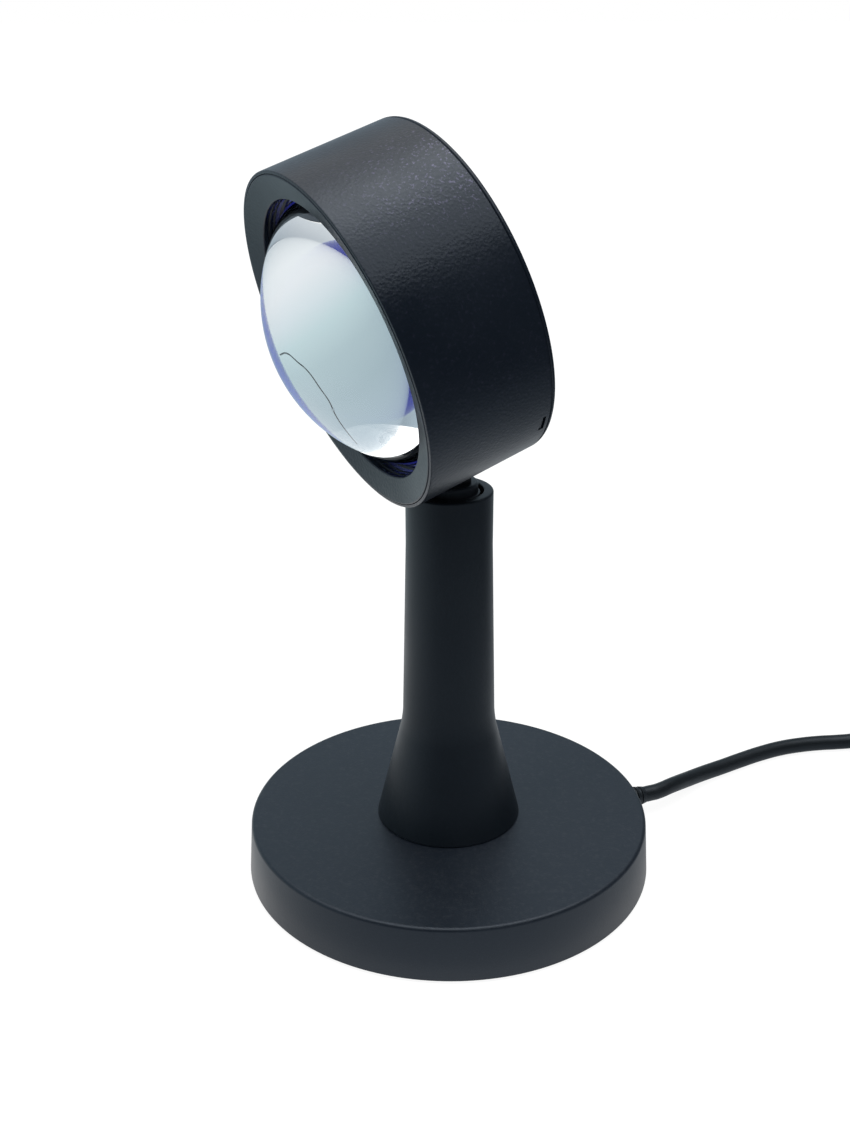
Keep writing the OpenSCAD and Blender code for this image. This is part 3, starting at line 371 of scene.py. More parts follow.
# %% Settled dust
UPWARD_BETWEEN = (0.3, 1.0)
MOTES_BETWEEN = (0.5, 0.75)
dust_group, dust_in, dust_out = new_group(
    "settled_dust", [("Place", "NodeSocketVector"), ("Amount", "NodeSocketFloat")],
    [("Mask", "NodeSocketFloat")])
facing = node_in(dust_group, "ShaderNodeNewGeometry")
split = node_in(dust_group, "ShaderNodeSeparateXYZ")
wire(dust_group, facing.outputs["Normal"], split.inputs[0])
upward = remap(dust_group, split.outputs["Z"], *UPWARD_BETWEEN)
motes = node_in(dust_group, "ShaderNodeTexNoise", Scale=900.0, Detail=4.0, Roughness=0.7)
wire(dust_group, dust_in.outputs["Place"], motes.inputs["Vector"])
loose = remap(dust_group, motes.outputs["Fac"], *MOTES_BETWEEN)
on_top = calculate(dust_group, "MULTIPLY", upward, loose)
wire(dust_group, calculate(dust_group, "MULTIPLY", on_top, dust_in.outputs["Amount"]),
     dust_out.inputs["Mask"])
print("group:", dust_group.name)

# %% [markdown]
# One recipe serves every matt surface. The grain gives the bump and tiny lighter specks, the
# marks shift roughness and colour slightly, and the dust lies on top. Where one part of a piece
# needs another finish or a painted highlight, its vertices carry a number from 0 to 1, and an
# Attribute node reads it.
# The Mix node keeps sockets for numbers, vectors and colours side by side under the same names,
# so the colour ones are reached by their place.

# %% Place a group, mix two values, read a mark
COLOUR_SOCKETS = (0, 6, 7)
COLOUR_RESULT = 2


def place_group(tree, group, coordinates, **values):
    made = tree.nodes.new("ShaderNodeGroup")
    made.node_tree = group
    wire(tree, coordinates, made.inputs["Place"])
    for key, value in values.items():
        made.inputs[key].default_value = value
    return made


def mix_colour(tree, factor, first, second):
    made = node_in(tree, "ShaderNodeMix", data_type="RGBA")
    for place, value in zip(COLOUR_SOCKETS, (factor, first, second)):
        feed(tree, value, made.inputs[place])
    return made.outputs[COLOUR_RESULT]


def mix_number(tree, factor, first, second):
    made = node_in(tree, "ShaderNodeMix", data_type="FLOAT")
    for title, value in (("Factor", factor), ("A", first), ("B", second)):
        feed(tree, value, made.inputs[title])
    return made.outputs["Result"]


def marked(tree, layer):
    return node_in(tree, "ShaderNodeAttribute", attribute_name=layer).outputs["Fac"]


# %% The colour of a matt surface
CLOUDING = 0.45
DUST_COLOUR = (0.32, 0.33, 0.34, 1)
# The next colour is a painted highlight: bright specks put into the drum's grain where its sheen
# falls.
PAINTED_HIGHLIGHT_COLOUR = (0.2, 0.18, 0.31, 1)


def shade(colour, gain, lift=0.0):
    return tuple(min(1, value * gain + lift) for value in colour) + (1,)


def matt_colour(tree, where, etched, handled, colour, speck, glint, dust, painted_highlight_zone):
    darker, lighter = shade(colour, 0.72), shade(colour, 1.9, 0.006)
    pigment = mix_colour(tree, handled.outputs["Patch"], darker, lighter)
    pigment = mix_colour(tree, CLOUDING, (*colour, 1), pigment)
    specks = calculate(tree, "MULTIPLY", etched.outputs["Speck"], speck)
    bright = (*glint, 1) if glint else shade(colour, 3.2, 0.02)
    pigment = mix_colour(tree, specks, pigment, bright)
    # Painted highlight: where the zone is marked, the specks take the bright highlight colour.
    if painted_highlight_zone:
        painted_highlight_specks = calculate(tree, "MULTIPLY", marked(tree, painted_highlight_zone), etched.outputs["Speck"])
        pigment = mix_colour(tree, painted_highlight_specks, pigment, PAINTED_HIGHLIGHT_COLOUR)
    if dust:
        settled = place_group(tree, dust_group, where, Amount=dust)
        pigment = mix_colour(tree, settled.outputs["Mask"], pigment, DUST_COLOUR)
    return pigment


# %% Its roughness and its bump
PATCHES_BETWEEN = (0.3, 0.7)
SCUFF_SHINE = 0.35
SMOOTH_ROUGHNESS = 0.16


def matt_roughness(tree, handled, roughness, marks, smooth_zone):
    dull = remap(tree, handled.outputs["Patch"], *PATCHES_BETWEEN, roughness - marks,
                 roughness + marks)
    rubbed = calculate(tree, "MULTIPLY_ADD", handled.outputs["Scuff"], -SCUFF_SHINE * marks,
                       dull)
    if smooth_zone:
        return mix_number(tree, marked(tree, smooth_zone), rubbed, SMOOTH_ROUGHNESS)
    return rubbed


def add_bump(tree, etched, principled, strength, depth):
    bump = node_in(tree, "ShaderNodeBump", Strength=strength, Distance=depth)
    wire(tree, etched.outputs["Height"], bump.inputs["Height"])
    wire(tree, bump.outputs["Normal"], principled.inputs["Normal"])


# %% The recipe for moulded plastic, rubber and paint
COOL_SHEEN = (0.78, 0.88, 1.0, 1)


def start_material(name):
    material = bpy.data.materials.new(name)
    material.use_nodes = True
    tree = material.node_tree
    where = tree.nodes.new("ShaderNodeTexCoord").outputs["Object"]
    return material, tree, tree.nodes["Principled BSDF"], where


def matt(name, colour, roughness=0.5, grain=2400, depth=0.00004, speck=0.3, marks=0.12,
         dust=0.0, specular=0.12, patch_size=45, glint=None, smooth_zone=None, painted_highlight_zone=None):
    material, tree, principled, where = start_material(name)
    etched = place_group(tree, grain_group, where, Size=grain)
    handled = place_group(tree, wear_group, where, Size=patch_size)
    wire(tree, matt_colour(tree, where, etched, handled, colour, speck, glint, dust, painted_highlight_zone),
         principled.inputs["Base Color"])
    wire(tree, matt_roughness(tree, handled, roughness, marks, smooth_zone),
         principled.inputs["Roughness"])
    add_bump(tree, etched, principled, 1.0, depth)
    principled.inputs["Specular IOR Level"].default_value = specular
    principled.inputs["Specular Tint"].default_value = COOL_SHEEN
    return material


# %% The plastics, rubbers and painted parts
# The drum's marked patch at the rear gets a painted highlight in its grain.
drum_black = matt("drum_black", (0.0015, 0.0042, 0.009), roughness=0.34, grain=1500,
                  depth=0.00007, speck=0.25, marks=0.05, dust=0.03, specular=0.37,
                  glint=(0.035, 0.033, 0.065), smooth_zone="smooth_wall",
                  painted_highlight_zone="painted_highlight_grain")
base_black = matt("base_black", (0.0022, 0.005, 0.0098), roughness=0.42, grain=2600,
                  depth=0.000025, speck=0.2, marks=0.06, dust=0.04, specular=0.52,
                  patch_size=28)
stem_black = matt("stem_black", (0.0025, 0.0048, 0.0075), roughness=0.4, grain=3200,
                  depth=0.00002, speck=0.15, marks=0.05, specular=0.36)
neck_black = matt("neck_black", (0.005, 0.007, 0.01), roughness=0.35, grain=3200,
                  depth=0.00002, speck=0.1, specular=0.4)
cord_black = matt("cord_black", (0.005, 0.0068, 0.0082), roughness=0.42, grain=5200,
                  depth=0.00001, speck=0.1, marks=0.06, specular=0.35)
boot_black = matt("boot_black", (0.006, 0.008, 0.01), roughness=0.5, grain=4000,
                  depth=0.00002, speck=0.1, specular=0.35)
switch_black = matt("switch_black", (0.007, 0.0085, 0.011), roughness=0.42, grain=2600,
                    depth=0.00004, speck=0.2, specular=0.4)
button_grey = matt("button_grey", (0.022, 0.025, 0.03), roughness=0.35, grain=3200,
                   depth=0.00002, speck=0.1, specular=0.5)
pad_black = matt("pad_black", (0.015, 0.015, 0.016), roughness=0.8, grain=1100,
                 depth=0.00012, speck=0.2, specular=0.3)
plate_black = matt("plate_black", (0.02, 0.021, 0.022), roughness=0.4, grain=2400,
                   depth=0.00002, specular=0.5)
iron_grey = matt("iron_grey", (0.05, 0.048, 0.046), roughness=0.7, grain=700,
                 depth=0.0003, speck=0.5, marks=0.15, specular=0.4)
board_green = matt("board_green", (0.02, 0.12, 0.06), roughness=0.3, grain=2000,
                   depth=0.00002, specular=0.5)
board_white = matt("board_white", (0.72, 0.72, 0.7), roughness=0.35, grain=2000,
                   depth=0.00001, speck=0.1, specular=0.5)
hinge_black = matt("hinge_black", (0.012, 0.013, 0.015), roughness=0.38, grain=2400,
                   depth=0.00002, speck=0.1, specular=0.3)
lead_red = matt("lead_red", (0.28, 0.03, 0.02), roughness=0.45, grain=4000,
                depth=0.00001, speck=0.1)
nylon_white = matt("nylon_white", (0.62, 0.6, 0.55), roughness=0.5, grain=3000,
                   depth=0.00001, speck=0.1)
tongue_white = matt("tongue_white", (0.82, 0.82, 0.8), roughness=0.4, grain=3000,
                    depth=0.00001, speck=0.1)
phosphor_yellow = matt("phosphor_yellow", (0.85, 0.66, 0.06), roughness=0.5, grain=5000,
                       depth=0.00002, speck=0.2)
print("materials in the file so far:", len(bpy.data.materials))

# %% [markdown]
# Metals keep Metallic at 1. The grain group now stands for rolled or plated texture, and only
# the roughness and the tint vary.

# %% Metals
METAL_GRAIN = 1800
METAL_PATCH = 60


def metal(name, colour, roughness=0.3, depth=0.00002, marks=0.1):
    material, tree, principled, where = start_material(name)
    etched = place_group(tree, grain_group, where, Size=METAL_GRAIN)
    handled = place_group(tree, wear_group, where, Size=METAL_PATCH)
    wire(tree, mix_colour(tree, handled.outputs["Patch"], shade(colour, 0.85),
                          shade(colour, 1.1)), principled.inputs["Base Color"])
    wire(tree, remap(tree, handled.outputs["Patch"], 0, 1, roughness - marks,
                     roughness + marks), principled.inputs["Roughness"])
    add_bump(tree, etched, principled, 0.6, depth)
    principled.inputs["Metallic"].default_value = 1.0
    return material


hinge_steel = metal("hinge_steel", (0.42, 0.43, 0.44))
screw_steel = metal("screw_steel", (0.55, 0.55, 0.54), roughness=0.28)
plug_nickel = metal("plug_nickel", (0.68, 0.68, 0.67), roughness=0.2, marks=0.06)
sink_aluminium = metal("sink_aluminium", (0.62, 0.63, 0.64), roughness=0.35)
print("metals:", [look.name for look in (hinge_steel, screw_steel, plug_nickel, sink_aluminium)])

# %% [markdown]
# ## Glass
# The lens is a thick plano-convex dome. Plain glass has a constant Metallic and Transmission
# Weight, and only its tint and roughness vary a little.

# %% Glass for the lens and the colour filter
GLASS_PATCH = 35
GLASS_HAZE = 0.06
GLASS_IOR = 1.5


def glass(name, tint, roughness=0.01):
    material, tree, principled, where = start_material(name)
    handled = place_group(tree, wear_group, where, Size=GLASS_PATCH)
    wire(tree, mix_colour(tree, handled.outputs["Patch"], (*tint, 1), shade(tint, 1.03)),
         principled.inputs["Base Color"])
    wire(tree, remap(tree, handled.outputs["Scuff"], 0, 1, roughness, roughness + GLASS_HAZE),
         principled.inputs["Roughness"])
    principled.inputs["Transmission Weight"].default_value = 1.0
    principled.inputs["IOR"].default_value = GLASS_IOR
    return material


lens_glass = glass("lens_glass", (0.955, 0.985, 0.99))
filter_glass = glass("filter_glass", (0.95, 0.75, 0.6), roughness=0.05)
print("glasses:", [lens_glass.name, filter_glass.name])

# %% [markdown]
# ## The base
# A shallow moulded cap with a soft top edge sits over a steel plate and a rubber pad. Its side
# leans in by almost four degrees, which lets a real moulding leave its mould. A cylinder would
# stand up straight, and the spun outline gives the lean, the hollow and the rim at once.

# %% Mould the base shell
BASE_FOOT = 0.6
BASE_TOP = 14.0
FOOT_RADIUS = 49.9
TOP_RADIUS = 49.0
base_shape = turned([(47.6, BASE_FOOT), (FOOT_RADIUS, BASE_FOOT), (TOP_RADIUS, BASE_TOP),
                     (7.5, BASE_TOP), (7.5, 11.8), (44.7, 11.8), (46.7, 9.8), (46.7, 2.8),
                     (47.6, 2.8)], steps=WIDE_ROUND_STEPS)
round_ring(base_shape, TOP_RADIUS, BASE_TOP, 0.9, 5)
round_ring(base_shape, FOOT_RADIUS, BASE_FOOT, 0.3, 3)
finish_piece(base_shape, "base_moulding", base_black, "stand", ["base_shell"])

# %% [markdown]
# ## The stem
# One moulding flares out to the base. Where the flare meets the shaft, a wide bevel gives the
# slow curve that an outline of straight lines lacks.

# %% Mould the stem
KINK = (11.15, 40.5)
SHAFT = 10.1
SOCKET = 7.9
STEM_TOP = 99.0
stem_shape = turned([(15.15, BASE_TOP), (17.25, BASE_TOP), (17.55, 14.3), KINK, (SHAFT, 86.0),
                     (SHAFT, STEM_TOP), (SOCKET, STEM_TOP), (SOCKET, 94.0), (3.05, 94.0),
                     (3.05, 90.2), (8.2, 90.2), (8.2, 44.5)])
round_ring(stem_shape, *KINK, 2.8, 10)
round_ring(stem_shape, SHAFT, STEM_TOP, 0.5, 4)
round_ring(stem_shape, SOCKET, STEM_TOP, 0.3, 3)
finish_piece(stem_shape, "stem_moulding", stem_black, "stand", ["stem"])

# %% [markdown]
# A small collar stands in the top of the stem and turns there, with the hinge and the head on
# it. It is a spun outline too, and its upper edge is well rounded, because it shows.

# %% Turn the neck's collar
SHOULDER = (7.1, 98.6)
UPPER_EDGE = (6.6, 101.0)
collar_shape = turned([(3.05, 94.85), (7.1, 94.85), SHOULDER, (6.6, 98.6), UPPER_EDGE,
                       (3.05, 101.0)])
round_ring(collar_shape, *SHOULDER, 0.3, 3)
round_ring(collar_shape, *UPPER_EDGE, 0.6, 4)
finish_piece(collar_shape, "neck_ring", neck_black, "swivel", ["neck_collar"])

# %% [markdown]
# ## The drum
# The drum is a tube with a slot underneath for the hinge, and two small windows where latches
# of the rear cover show. A boolean could cut them, but it leaves untidy faces on a thin wall.
# Here four bisecting planes cut round each window, the faces inside them are deleted, and a
# bridge joins the outer rim of the hole to the inner one.

# %% Cut a window through a turned wall
WALL_OUTSIDE = 30
CUT_MARGIN = 3.5


def cut_window(shape, turn_degrees, half_width, low, high):
    turn = Matrix.Rotation(math.radians(turn_degrees), 3, "Z")
    back = turn.transposed()

    def in_wall(face, width):
        centre = back @ face.calc_center_median()
        return centre.x > WALL_OUTSIDE and abs(centre.y) < width

    planes = [((0, half_width, 0), (0, 1, 0)), ((0, -half_width, 0), (0, -1, 0)),
              ((0, 0, low), (0, 0, -1)), ((0, 0, high), (0, 0, 1))]
    for point, normal in planes:
        wall = [face for face in shape.faces if in_wall(face, half_width + CUT_MARGIN)]
        parts = set(wall)
        for face in wall:
            parts.update(face.edges)
            parts.update(face.verts)
        bmesh.ops.bisect_plane(shape, geom=list(parts), dist=0.00001,
                               plane_co=turn @ Vector(point), plane_no=turn @ Vector(normal))
    inside = [face for face in shape.faces
              if in_wall(face, half_width) and low < face.calc_center_median().z < high]
    bmesh.ops.delete(shape, geom=inside, context="FACES")
    rims = [edge for edge in shape.edges if len(edge.link_faces) == 1]
    bmesh.ops.bridge_loops(shape, edges=rims)
    bmesh.ops.recalc_face_normals(shape, faces=shape.faces)


# %% Mould the drum
DRUM = 38.0
BORE = 35.6
REAR = -15.25
FRONT = 15.25
COVER = -14.05
LIP = FRONT - 0.2
LIP_INSIDE = DRUM - 0.7
RING_SEAT = 12.3
SLOT = (3.3, -10.9, 3.5)
WINDOW = (2.3, -13.1, -11.8)
WINDOW_TURNS = (52, -52)
drum_shape = turned([(BORE, COVER), (DRUM, COVER), (DRUM, LIP), (LIP_INSIDE, LIP),
                     (LIP_INSIDE, RING_SEAT), (BORE, RING_SEAT), (BORE, 5.8), (34.0, 5.8),
                     (34.0, 4.8), (BORE, 4.8)], steps=WIDE_ROUND_STEPS)
cut_window(drum_shape, 0, *SLOT)
for window_turn in WINDOW_TURNS:
    cut_window(drum_shape, window_turn, *WINDOW)
round_ring(drum_shape, DRUM, COVER, 0.25, 2)
round_ring(drum_shape, DRUM, LIP, 0.25, 2)
print("drum faces, with its slot and windows:", len(drum_shape.faces))

# %% [markdown]
# High on the rear of the drum, where the overhead light's highlight band meets the rim, a patch
# of brighter specks is painted into the grain: a painted highlight. It is marked on the
# vertices, strongest in the middle and fading out to each side, and the drum's finish turns the
# mark into bright grain.

# %% Mark the patch of painted highlight
PAINTED_HIGHLIGHT_TURN = math.radians(148)
PAINTED_HIGHLIGHT_HALF_WIDTH = 22
PAINTED_HIGHLIGHT_BEHIND = -10
painted_highlight_grain = drum_shape.verts.layers.float.new("painted_highlight_grain")
for vert in drum_shape.verts:
    off = math.atan2(vert.co.y, vert.co.x) - PAINTED_HIGHLIGHT_TURN
    off = math.degrees(math.atan2(math.sin(off), math.cos(off)))
    at_rear = vert.co.z < PAINTED_HIGHLIGHT_BEHIND and vert.co.xy.length > DRUM - 1
    vert[painted_highlight_grain] = max(0.0, 1 - (off / PAINTED_HIGHLIGHT_HALF_WIDTH) ** 2) if at_rear else 0.0
finish_piece(drum_shape, "drum_moulding", drum_black, "head",
             ["head_housing"], head_place)

# %% [markdown]
# The front ring is dished, so its inner edge lies a little deeper than the drum's rim, and a
# thin seam shows all round it. Its opening has two fine steps and is smoother than its face. A
# mark on the vertices of that inner wall tells the finish where.

# %% Mould the front ring
RING_OPENING = 31.4
OPENING_TOP = 13.75
RING_EDGE = 37.2
STEP_IN = 0.35
STEP_HEIGHT = 0.6
step_outline = []
for low_edge in (10.9, 12.1):
    step_outline += [(RING_OPENING, low_edge), (RING_OPENING + STEP_IN, low_edge),
                     (RING_OPENING + STEP_IN, low_edge + STEP_HEIGHT),
                     (RING_OPENING, low_edge + STEP_HEIGHT)]
ring_shape = turned([(RING_OPENING, 10.0)] + step_outline + [
    (RING_OPENING, OPENING_TOP), (RING_EDGE, FRONT), (RING_EDGE, RING_SEAT),
    (35.5, RING_SEAT), (35.5, 6.7), (33.3, 6.7), (33.3, 10.0)], steps=WIDE_ROUND_STEPS)
round_ring(ring_shape, RING_OPENING, OPENING_TOP, 0.3, 4)
round_ring(ring_shape, RING_EDGE, FRONT, 0.4, 4)

# %% Mark the ring's smooth inner wall
INNER_WALL = RING_OPENING + 0.4
WALL_LOW, WALL_HIGH = 9.9, 13.5
smooth_wall = ring_shape.verts.layers.float.new("smooth_wall")
for vert in ring_shape.verts:
    in_opening = vert.co.xy.length < INNER_WALL and WALL_LOW < vert.co.z < WALL_HIGH
    vert[smooth_wall] = 1.0 if in_opening else 0.0
finish_piece(ring_shape, "front_ring", drum_black, "head", ["front_bezel"],
             head_place)

# %% [markdown]
# The rear cover is a plain disc with a soft edge. On its inner side a spigot, open where the
# hinge bracket sits, carries three latch fingers, and two of them fill the drum's windows. Each
# is made as a closed shape of its own and then joined to the disc's mesh, which keeps every
# shape simple.

# %% Join shapes, and make a block and part of a ring
def joined(first, second):
    helper = bpy.data.meshes.new("helper")
    second.to_mesh(helper)
    second.free()
    first.from_mesh(helper)
    bpy.data.meshes.remove(helper)
    return first


def block(low, high, matrix, edge):
    shape = bmesh.new()
    bmesh.ops.create_cube(shape, size=1.0)
    low, high = Vector(low), Vector(high)
    bmesh.ops.scale(shape, vec=high - low, verts=shape.verts)
    bmesh.ops.translate(shape, vec=(low + high) / 2, verts=shape.verts)
    bmesh.ops.bevel(shape, geom=shape.edges[:], offset=edge, offset_type="OFFSET",
                    segments=2, profile=0.5, affect="EDGES", material=-1)
    bmesh.ops.transform(shape, matrix=matrix, verts=shape.verts)
    return shape


def part_ring(inner, outer, low, high, start_degrees, sweep_degrees):
    shape = bmesh.new()
    corners = [shape.verts.new((r, 0, z))
               for r, z in ((inner, low), (outer, low), (outer, high), (inner, high))]
    shape.faces.new(corners)
    bmesh.ops.rotate(shape, cent=(0, 0, 0), verts=shape.verts,
                     matrix=Matrix.Rotation(math.radians(start_degrees), 3, "Z"))
    bmesh.ops.spin(shape, geom=shape.verts[:] + shape.edges[:] + shape.faces[:],
                   cent=(0, 0, 0), axis=(0, 0, 1), angle=math.radians(sweep_degrees), steps=90)
    bmesh.ops.recalc_face_normals(shape, faces=shape.faces)
    return shape


# %% Mould the rear cover
COVER_EDGE = DRUM - 0.25
SPIGOT_GAP = 21
cover_shape = turned([(0, REAR), (DRUM, REAR), (DRUM, COVER - 0.3), (COVER_EDGE, COVER - 0.05),
                      (DRUM - 0.3, COVER), (0, COVER)], loop=False, steps=WIDE_ROUND_STEPS)
round_ring(cover_shape, DRUM, REAR, 0.9, 5)
cover_shape = joined(cover_shape, part_ring(33.7, 35.5, COVER - 0.4, -11.4, SPIGOT_GAP,
                                            360 - 2 * SPIGOT_GAP))
fingers = [(turn, COVER_EDGE) for turn in WINDOW_TURNS] + [(180, BORE + 1)]
for finger_turn, finger_reach in fingers:
    cover_shape = joined(cover_shape, block(
        (34.9, -2.15, -12.65), (finger_reach, 2.15, -11.95),
        Matrix.Rotation(math.radians(finger_turn), 4, "Z"), 0.1))
finish_piece(cover_shape, "back_cover", drum_black, "head", ["rear_cover"],
             head_place)

# %% [markdown]
# ## The lens and what lies behind it
# A squashed sphere would do for the dome, but not for the lens's flat back and its edge. So a
# single vertex is spun into the arc of the dome, three more points add the edge and the back,
# and spinning that line makes the glass.

# %% Grind the lens
LENS_CENTRE = -8.18
LENS_BALL = 35.3
LENS_FRONT = 10.0
LENS_BACK = 7.4
LENS_EDGE = 33.2
DOME_STEPS = 28
dome_angle = math.acos((LENS_FRONT - LENS_CENTRE) / LENS_BALL)
lens_shape = bmesh.new()
apex = lens_shape.verts.new((0, 0, LENS_CENTRE + LENS_BALL))
bmesh.ops.spin(lens_shape, geom=[apex], cent=(0, 0, LENS_CENTRE), axis=(0, 1, 0),
               angle=dome_angle, steps=DOME_STEPS)
rim_point = max(lens_shape.verts, key=lambda vert: vert.co.x)
for radius, height in ((LENS_EDGE, LENS_FRONT), (LENS_EDGE, LENS_BACK), (0, LENS_BACK)):
    corner = lens_shape.verts.new((radius, 0, height))
    lens_shape.edges.new((rim_point, corner))
    rim_point = corner
bmesh.ops.spin(lens_shape, geom=lens_shape.verts[:] + lens_shape.edges[:], cent=(0, 0, 0),
               axis=(0, 0, 1), angle=2 * math.pi, steps=WIDE_ROUND_STEPS, use_merge=True)
bmesh.ops.remove_doubles(lens_shape, verts=lens_shape.verts, dist=MERGE_WITHIN)
bmesh.ops.recalc_face_normals(lens_shape, faces=lens_shape.faces)
finish_piece(lens_shape, "lens_dome", lens_glass, "head", ["lens"], head_place,
             sharp=25)

# %% [markdown]
# A bright reflector cup, an orange filter and the LED lie behind the lens. The cup's outline
# runs from its throat to its mouth on a curve and comes back behind it, so the wall has its
# thickness from the start.

# %% Press the reflector cup
CUP_MOUTH = 31.0
CUP_THROAT = 11.6
CUP_FLOOR = -2.7
CUP_DEPTH = 8.5
CUP_FLARE = 1.3
CUP_STEPS = 16
cup_curve = []
for step in range(CUP_STEPS + 1):
    share = step / CUP_STEPS
    cup_curve.append((CUP_THROAT + (CUP_MOUTH - CUP_THROAT) * share,
                      CUP_FLOOR + CUP_DEPTH * share ** CUP_FLARE))
cup_back = [(radius + 1.6, height - 0.6) for radius, height in cup_curve[-2:0:-1]]
cup_shape = turned(cup_curve + [(CUP_MOUTH, 6.6), (35.3, 6.6), (35.3, 5.8), (32.4, 5.8)]
                   + cup_back + [(13.8, CUP_FLOOR), (13.8, -5.4), (12.45, -5.4),
                                 (12.45, CUP_FLOOR)], steps=120)
print("cup points from throat to mouth:", len(cup_curve))

# %% [markdown]
# A violet fringe runs along the edge of the lens. A coating may cause it, or the glass itself,
# which bends blue light most. A tint in the glass would colour the whole lens, so the fringe is
# painted light: the outer zone of the cup behind it is painted violet. Little light gets there,
# so that zone is satin and has a faint painted glow, though the cup is no lamp. The vertices
# carry the mark, from 0 to 1.

# %% Mark the painted violet fringe
VIOLET_FROM = 18
VIOLET_BLEND = 7
painted_fringe_mark = cup_shape.verts.layers.float.new("painted_violet_fringe")
for vert in cup_shape.verts:
    share = (vert.co.xy.length - VIOLET_FROM) / VIOLET_BLEND
    vert[painted_fringe_mark] = max(0.0, min(1.0, share))

# %% Polish the cup, and paint its rim violet with a faint painted glow
VIOLET = (0.1, 0.12, 1.0, 1)
NO_GLOW = (0, 0, 0, 1)
PAINTED_GLOW = 0.22
SATIN = 0.5
cup_chrome = metal("cup_chrome", (0.9, 0.92, 0.94), roughness=0.12, depth=0.000005, marks=0.04)
cup_tree = cup_chrome.node_tree
cup_skin = cup_tree.nodes["Principled BSDF"].inputs
chrome_colour = cup_skin["Base Color"].links[0].from_socket
chrome_roughness = cup_skin["Roughness"].links[0].from_socket
painted_violet_fringe = marked(cup_tree, "painted_violet_fringe")
# Painted light: the rim's violet stands in for the lens's fringe, and it glows faintly though
# the cup is no lamp.
for title, inner, outer in (("Base Color", chrome_colour, VIOLET),
                            ("Emission Color", NO_GLOW, VIOLET)):
    wire(cup_tree, mix_colour(cup_tree, painted_violet_fringe, inner, outer), cup_skin[title])
wire(cup_tree, mix_number(cup_tree, painted_violet_fringe, chrome_roughness, SATIN), cup_skin["Roughness"])
cup_skin["Emission Strength"].default_value = PAINTED_GLOW
finish_piece(cup_shape, "reflector_cup", cup_chrome, "head", ["reflector"],
             head_place)

# %% [markdown]
# ## The boot, the switch and the plug
# The boot is turned about the line on which the cord leaves, with three grooves that let it
# bend. The smaller parts on the cord keep their CAD shape: a copy of each mesh is merged, its
# flat faces are joined, and a Bevel modifier softens the edges. It has to come before the
# Weighted Normal modifier, so it is moved to the front.

# %% Turn the boot
boot_outline = [(0, 44.7), (3.7, 44.7), (3.7, 46.3), (2.95, 46.3), (2.95, 49.95), (3.5, 49.95),
                (3.5, 50.65), (3.0, 51.05)]
for groove in range(3):
    shrink, along = groove * 0.2, groove * 1.4
    boot_outline += [(2.9 - shrink, 51.85 + along), (2.6 - shrink, 51.95 + along),
                     (2.6 - shrink, 52.45 + along), (2.85 - shrink, 52.55 + along)]
boot_outline += [(2.2, BOOT_TIP), (0, BOOT_TIP)]
boot_shape = turned(boot_outline, loop=False, steps=48)
round_ring(boot_shape, 3.5, 49.95, 0.15, 2)
round_ring(boot_shape, 3.5, 50.65, 0.2, 2)
boot_place = (Matrix.Rotation(CORD_TURN, 4, "Z") @ Matrix.Translation((0, 0, OUTLET_HEIGHT))
              @ Matrix.Rotation(math.pi / 2, 4, "Y"))
boot = finish_piece(boot_shape, "cord_boot", boot_black, "stand",
                    ["strain_relief"], boot_place)


# %% Soften a copy of a CAD node
def softened(node, name, look, body, width=0.25):
    shape = bmesh.new()
    shape.from_mesh(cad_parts[node].data)
    bmesh.ops.remove_doubles(shape, verts=shape.verts, dist=0.000002)
    bmesh.ops.dissolve_limit(shape, angle_limit=math.radians(1), verts=shape.verts,
                             edges=shape.edges)
    bmesh.ops.scale(shape, vec=Vector((1, 1, 1)) / MM, verts=shape.verts)
    piece = finish_piece(shape, name, look, body, [node], sharp=32)
    bevel = piece.modifiers.new("soft_edges", "BEVEL")
    bevel.width = width * MM
    bevel.segments = 2
    bevel.limit_method = "ANGLE"
    bevel.angle_limit = math.radians(40)
    bevel.use_clamp_overlap = True
    piece.modifiers.move(1, 0)
    return piece


# %% The inline switch, the plug and the tie
switch_pieces = [
    softened("switch_lower_shell", "switch_lower", switch_black, "stand"),
    softened("switch_upper_shell", "switch_upper", switch_black, "stand"),
    softened("switch_button", "switch_cap", button_grey, "switch_button"),
]
plug_pieces = [
    softened("usb_plug_body", "plug_grip", switch_black, "stand", 0.3),
    softened("usb_plug_shell", "plug_shell", plug_nickel, "stand", 0.08),
    softened("usb_plug_tongue", "plug_tongue", tongue_white, "stand", 0.1),
]
tie = softened("coil_tie", "coil_strap", boot_black, "stand", 0.3)

# %% [markdown]
# The cords ride on the stand and stand for their CAD solids.

for cord in (base_cord, plug_cord):
    cord.data.materials.append(cord_black)
    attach(cord, "stand")
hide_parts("cord")
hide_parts("cord_mid", "cord_coil", "cord_tail")

# %% [markdown]
# ## The remaining CAD nodes
# The inner parts keep their CAD shape and get a real finish: steel, aluminium, rubber, nylon,
# and the green of a circuit board.

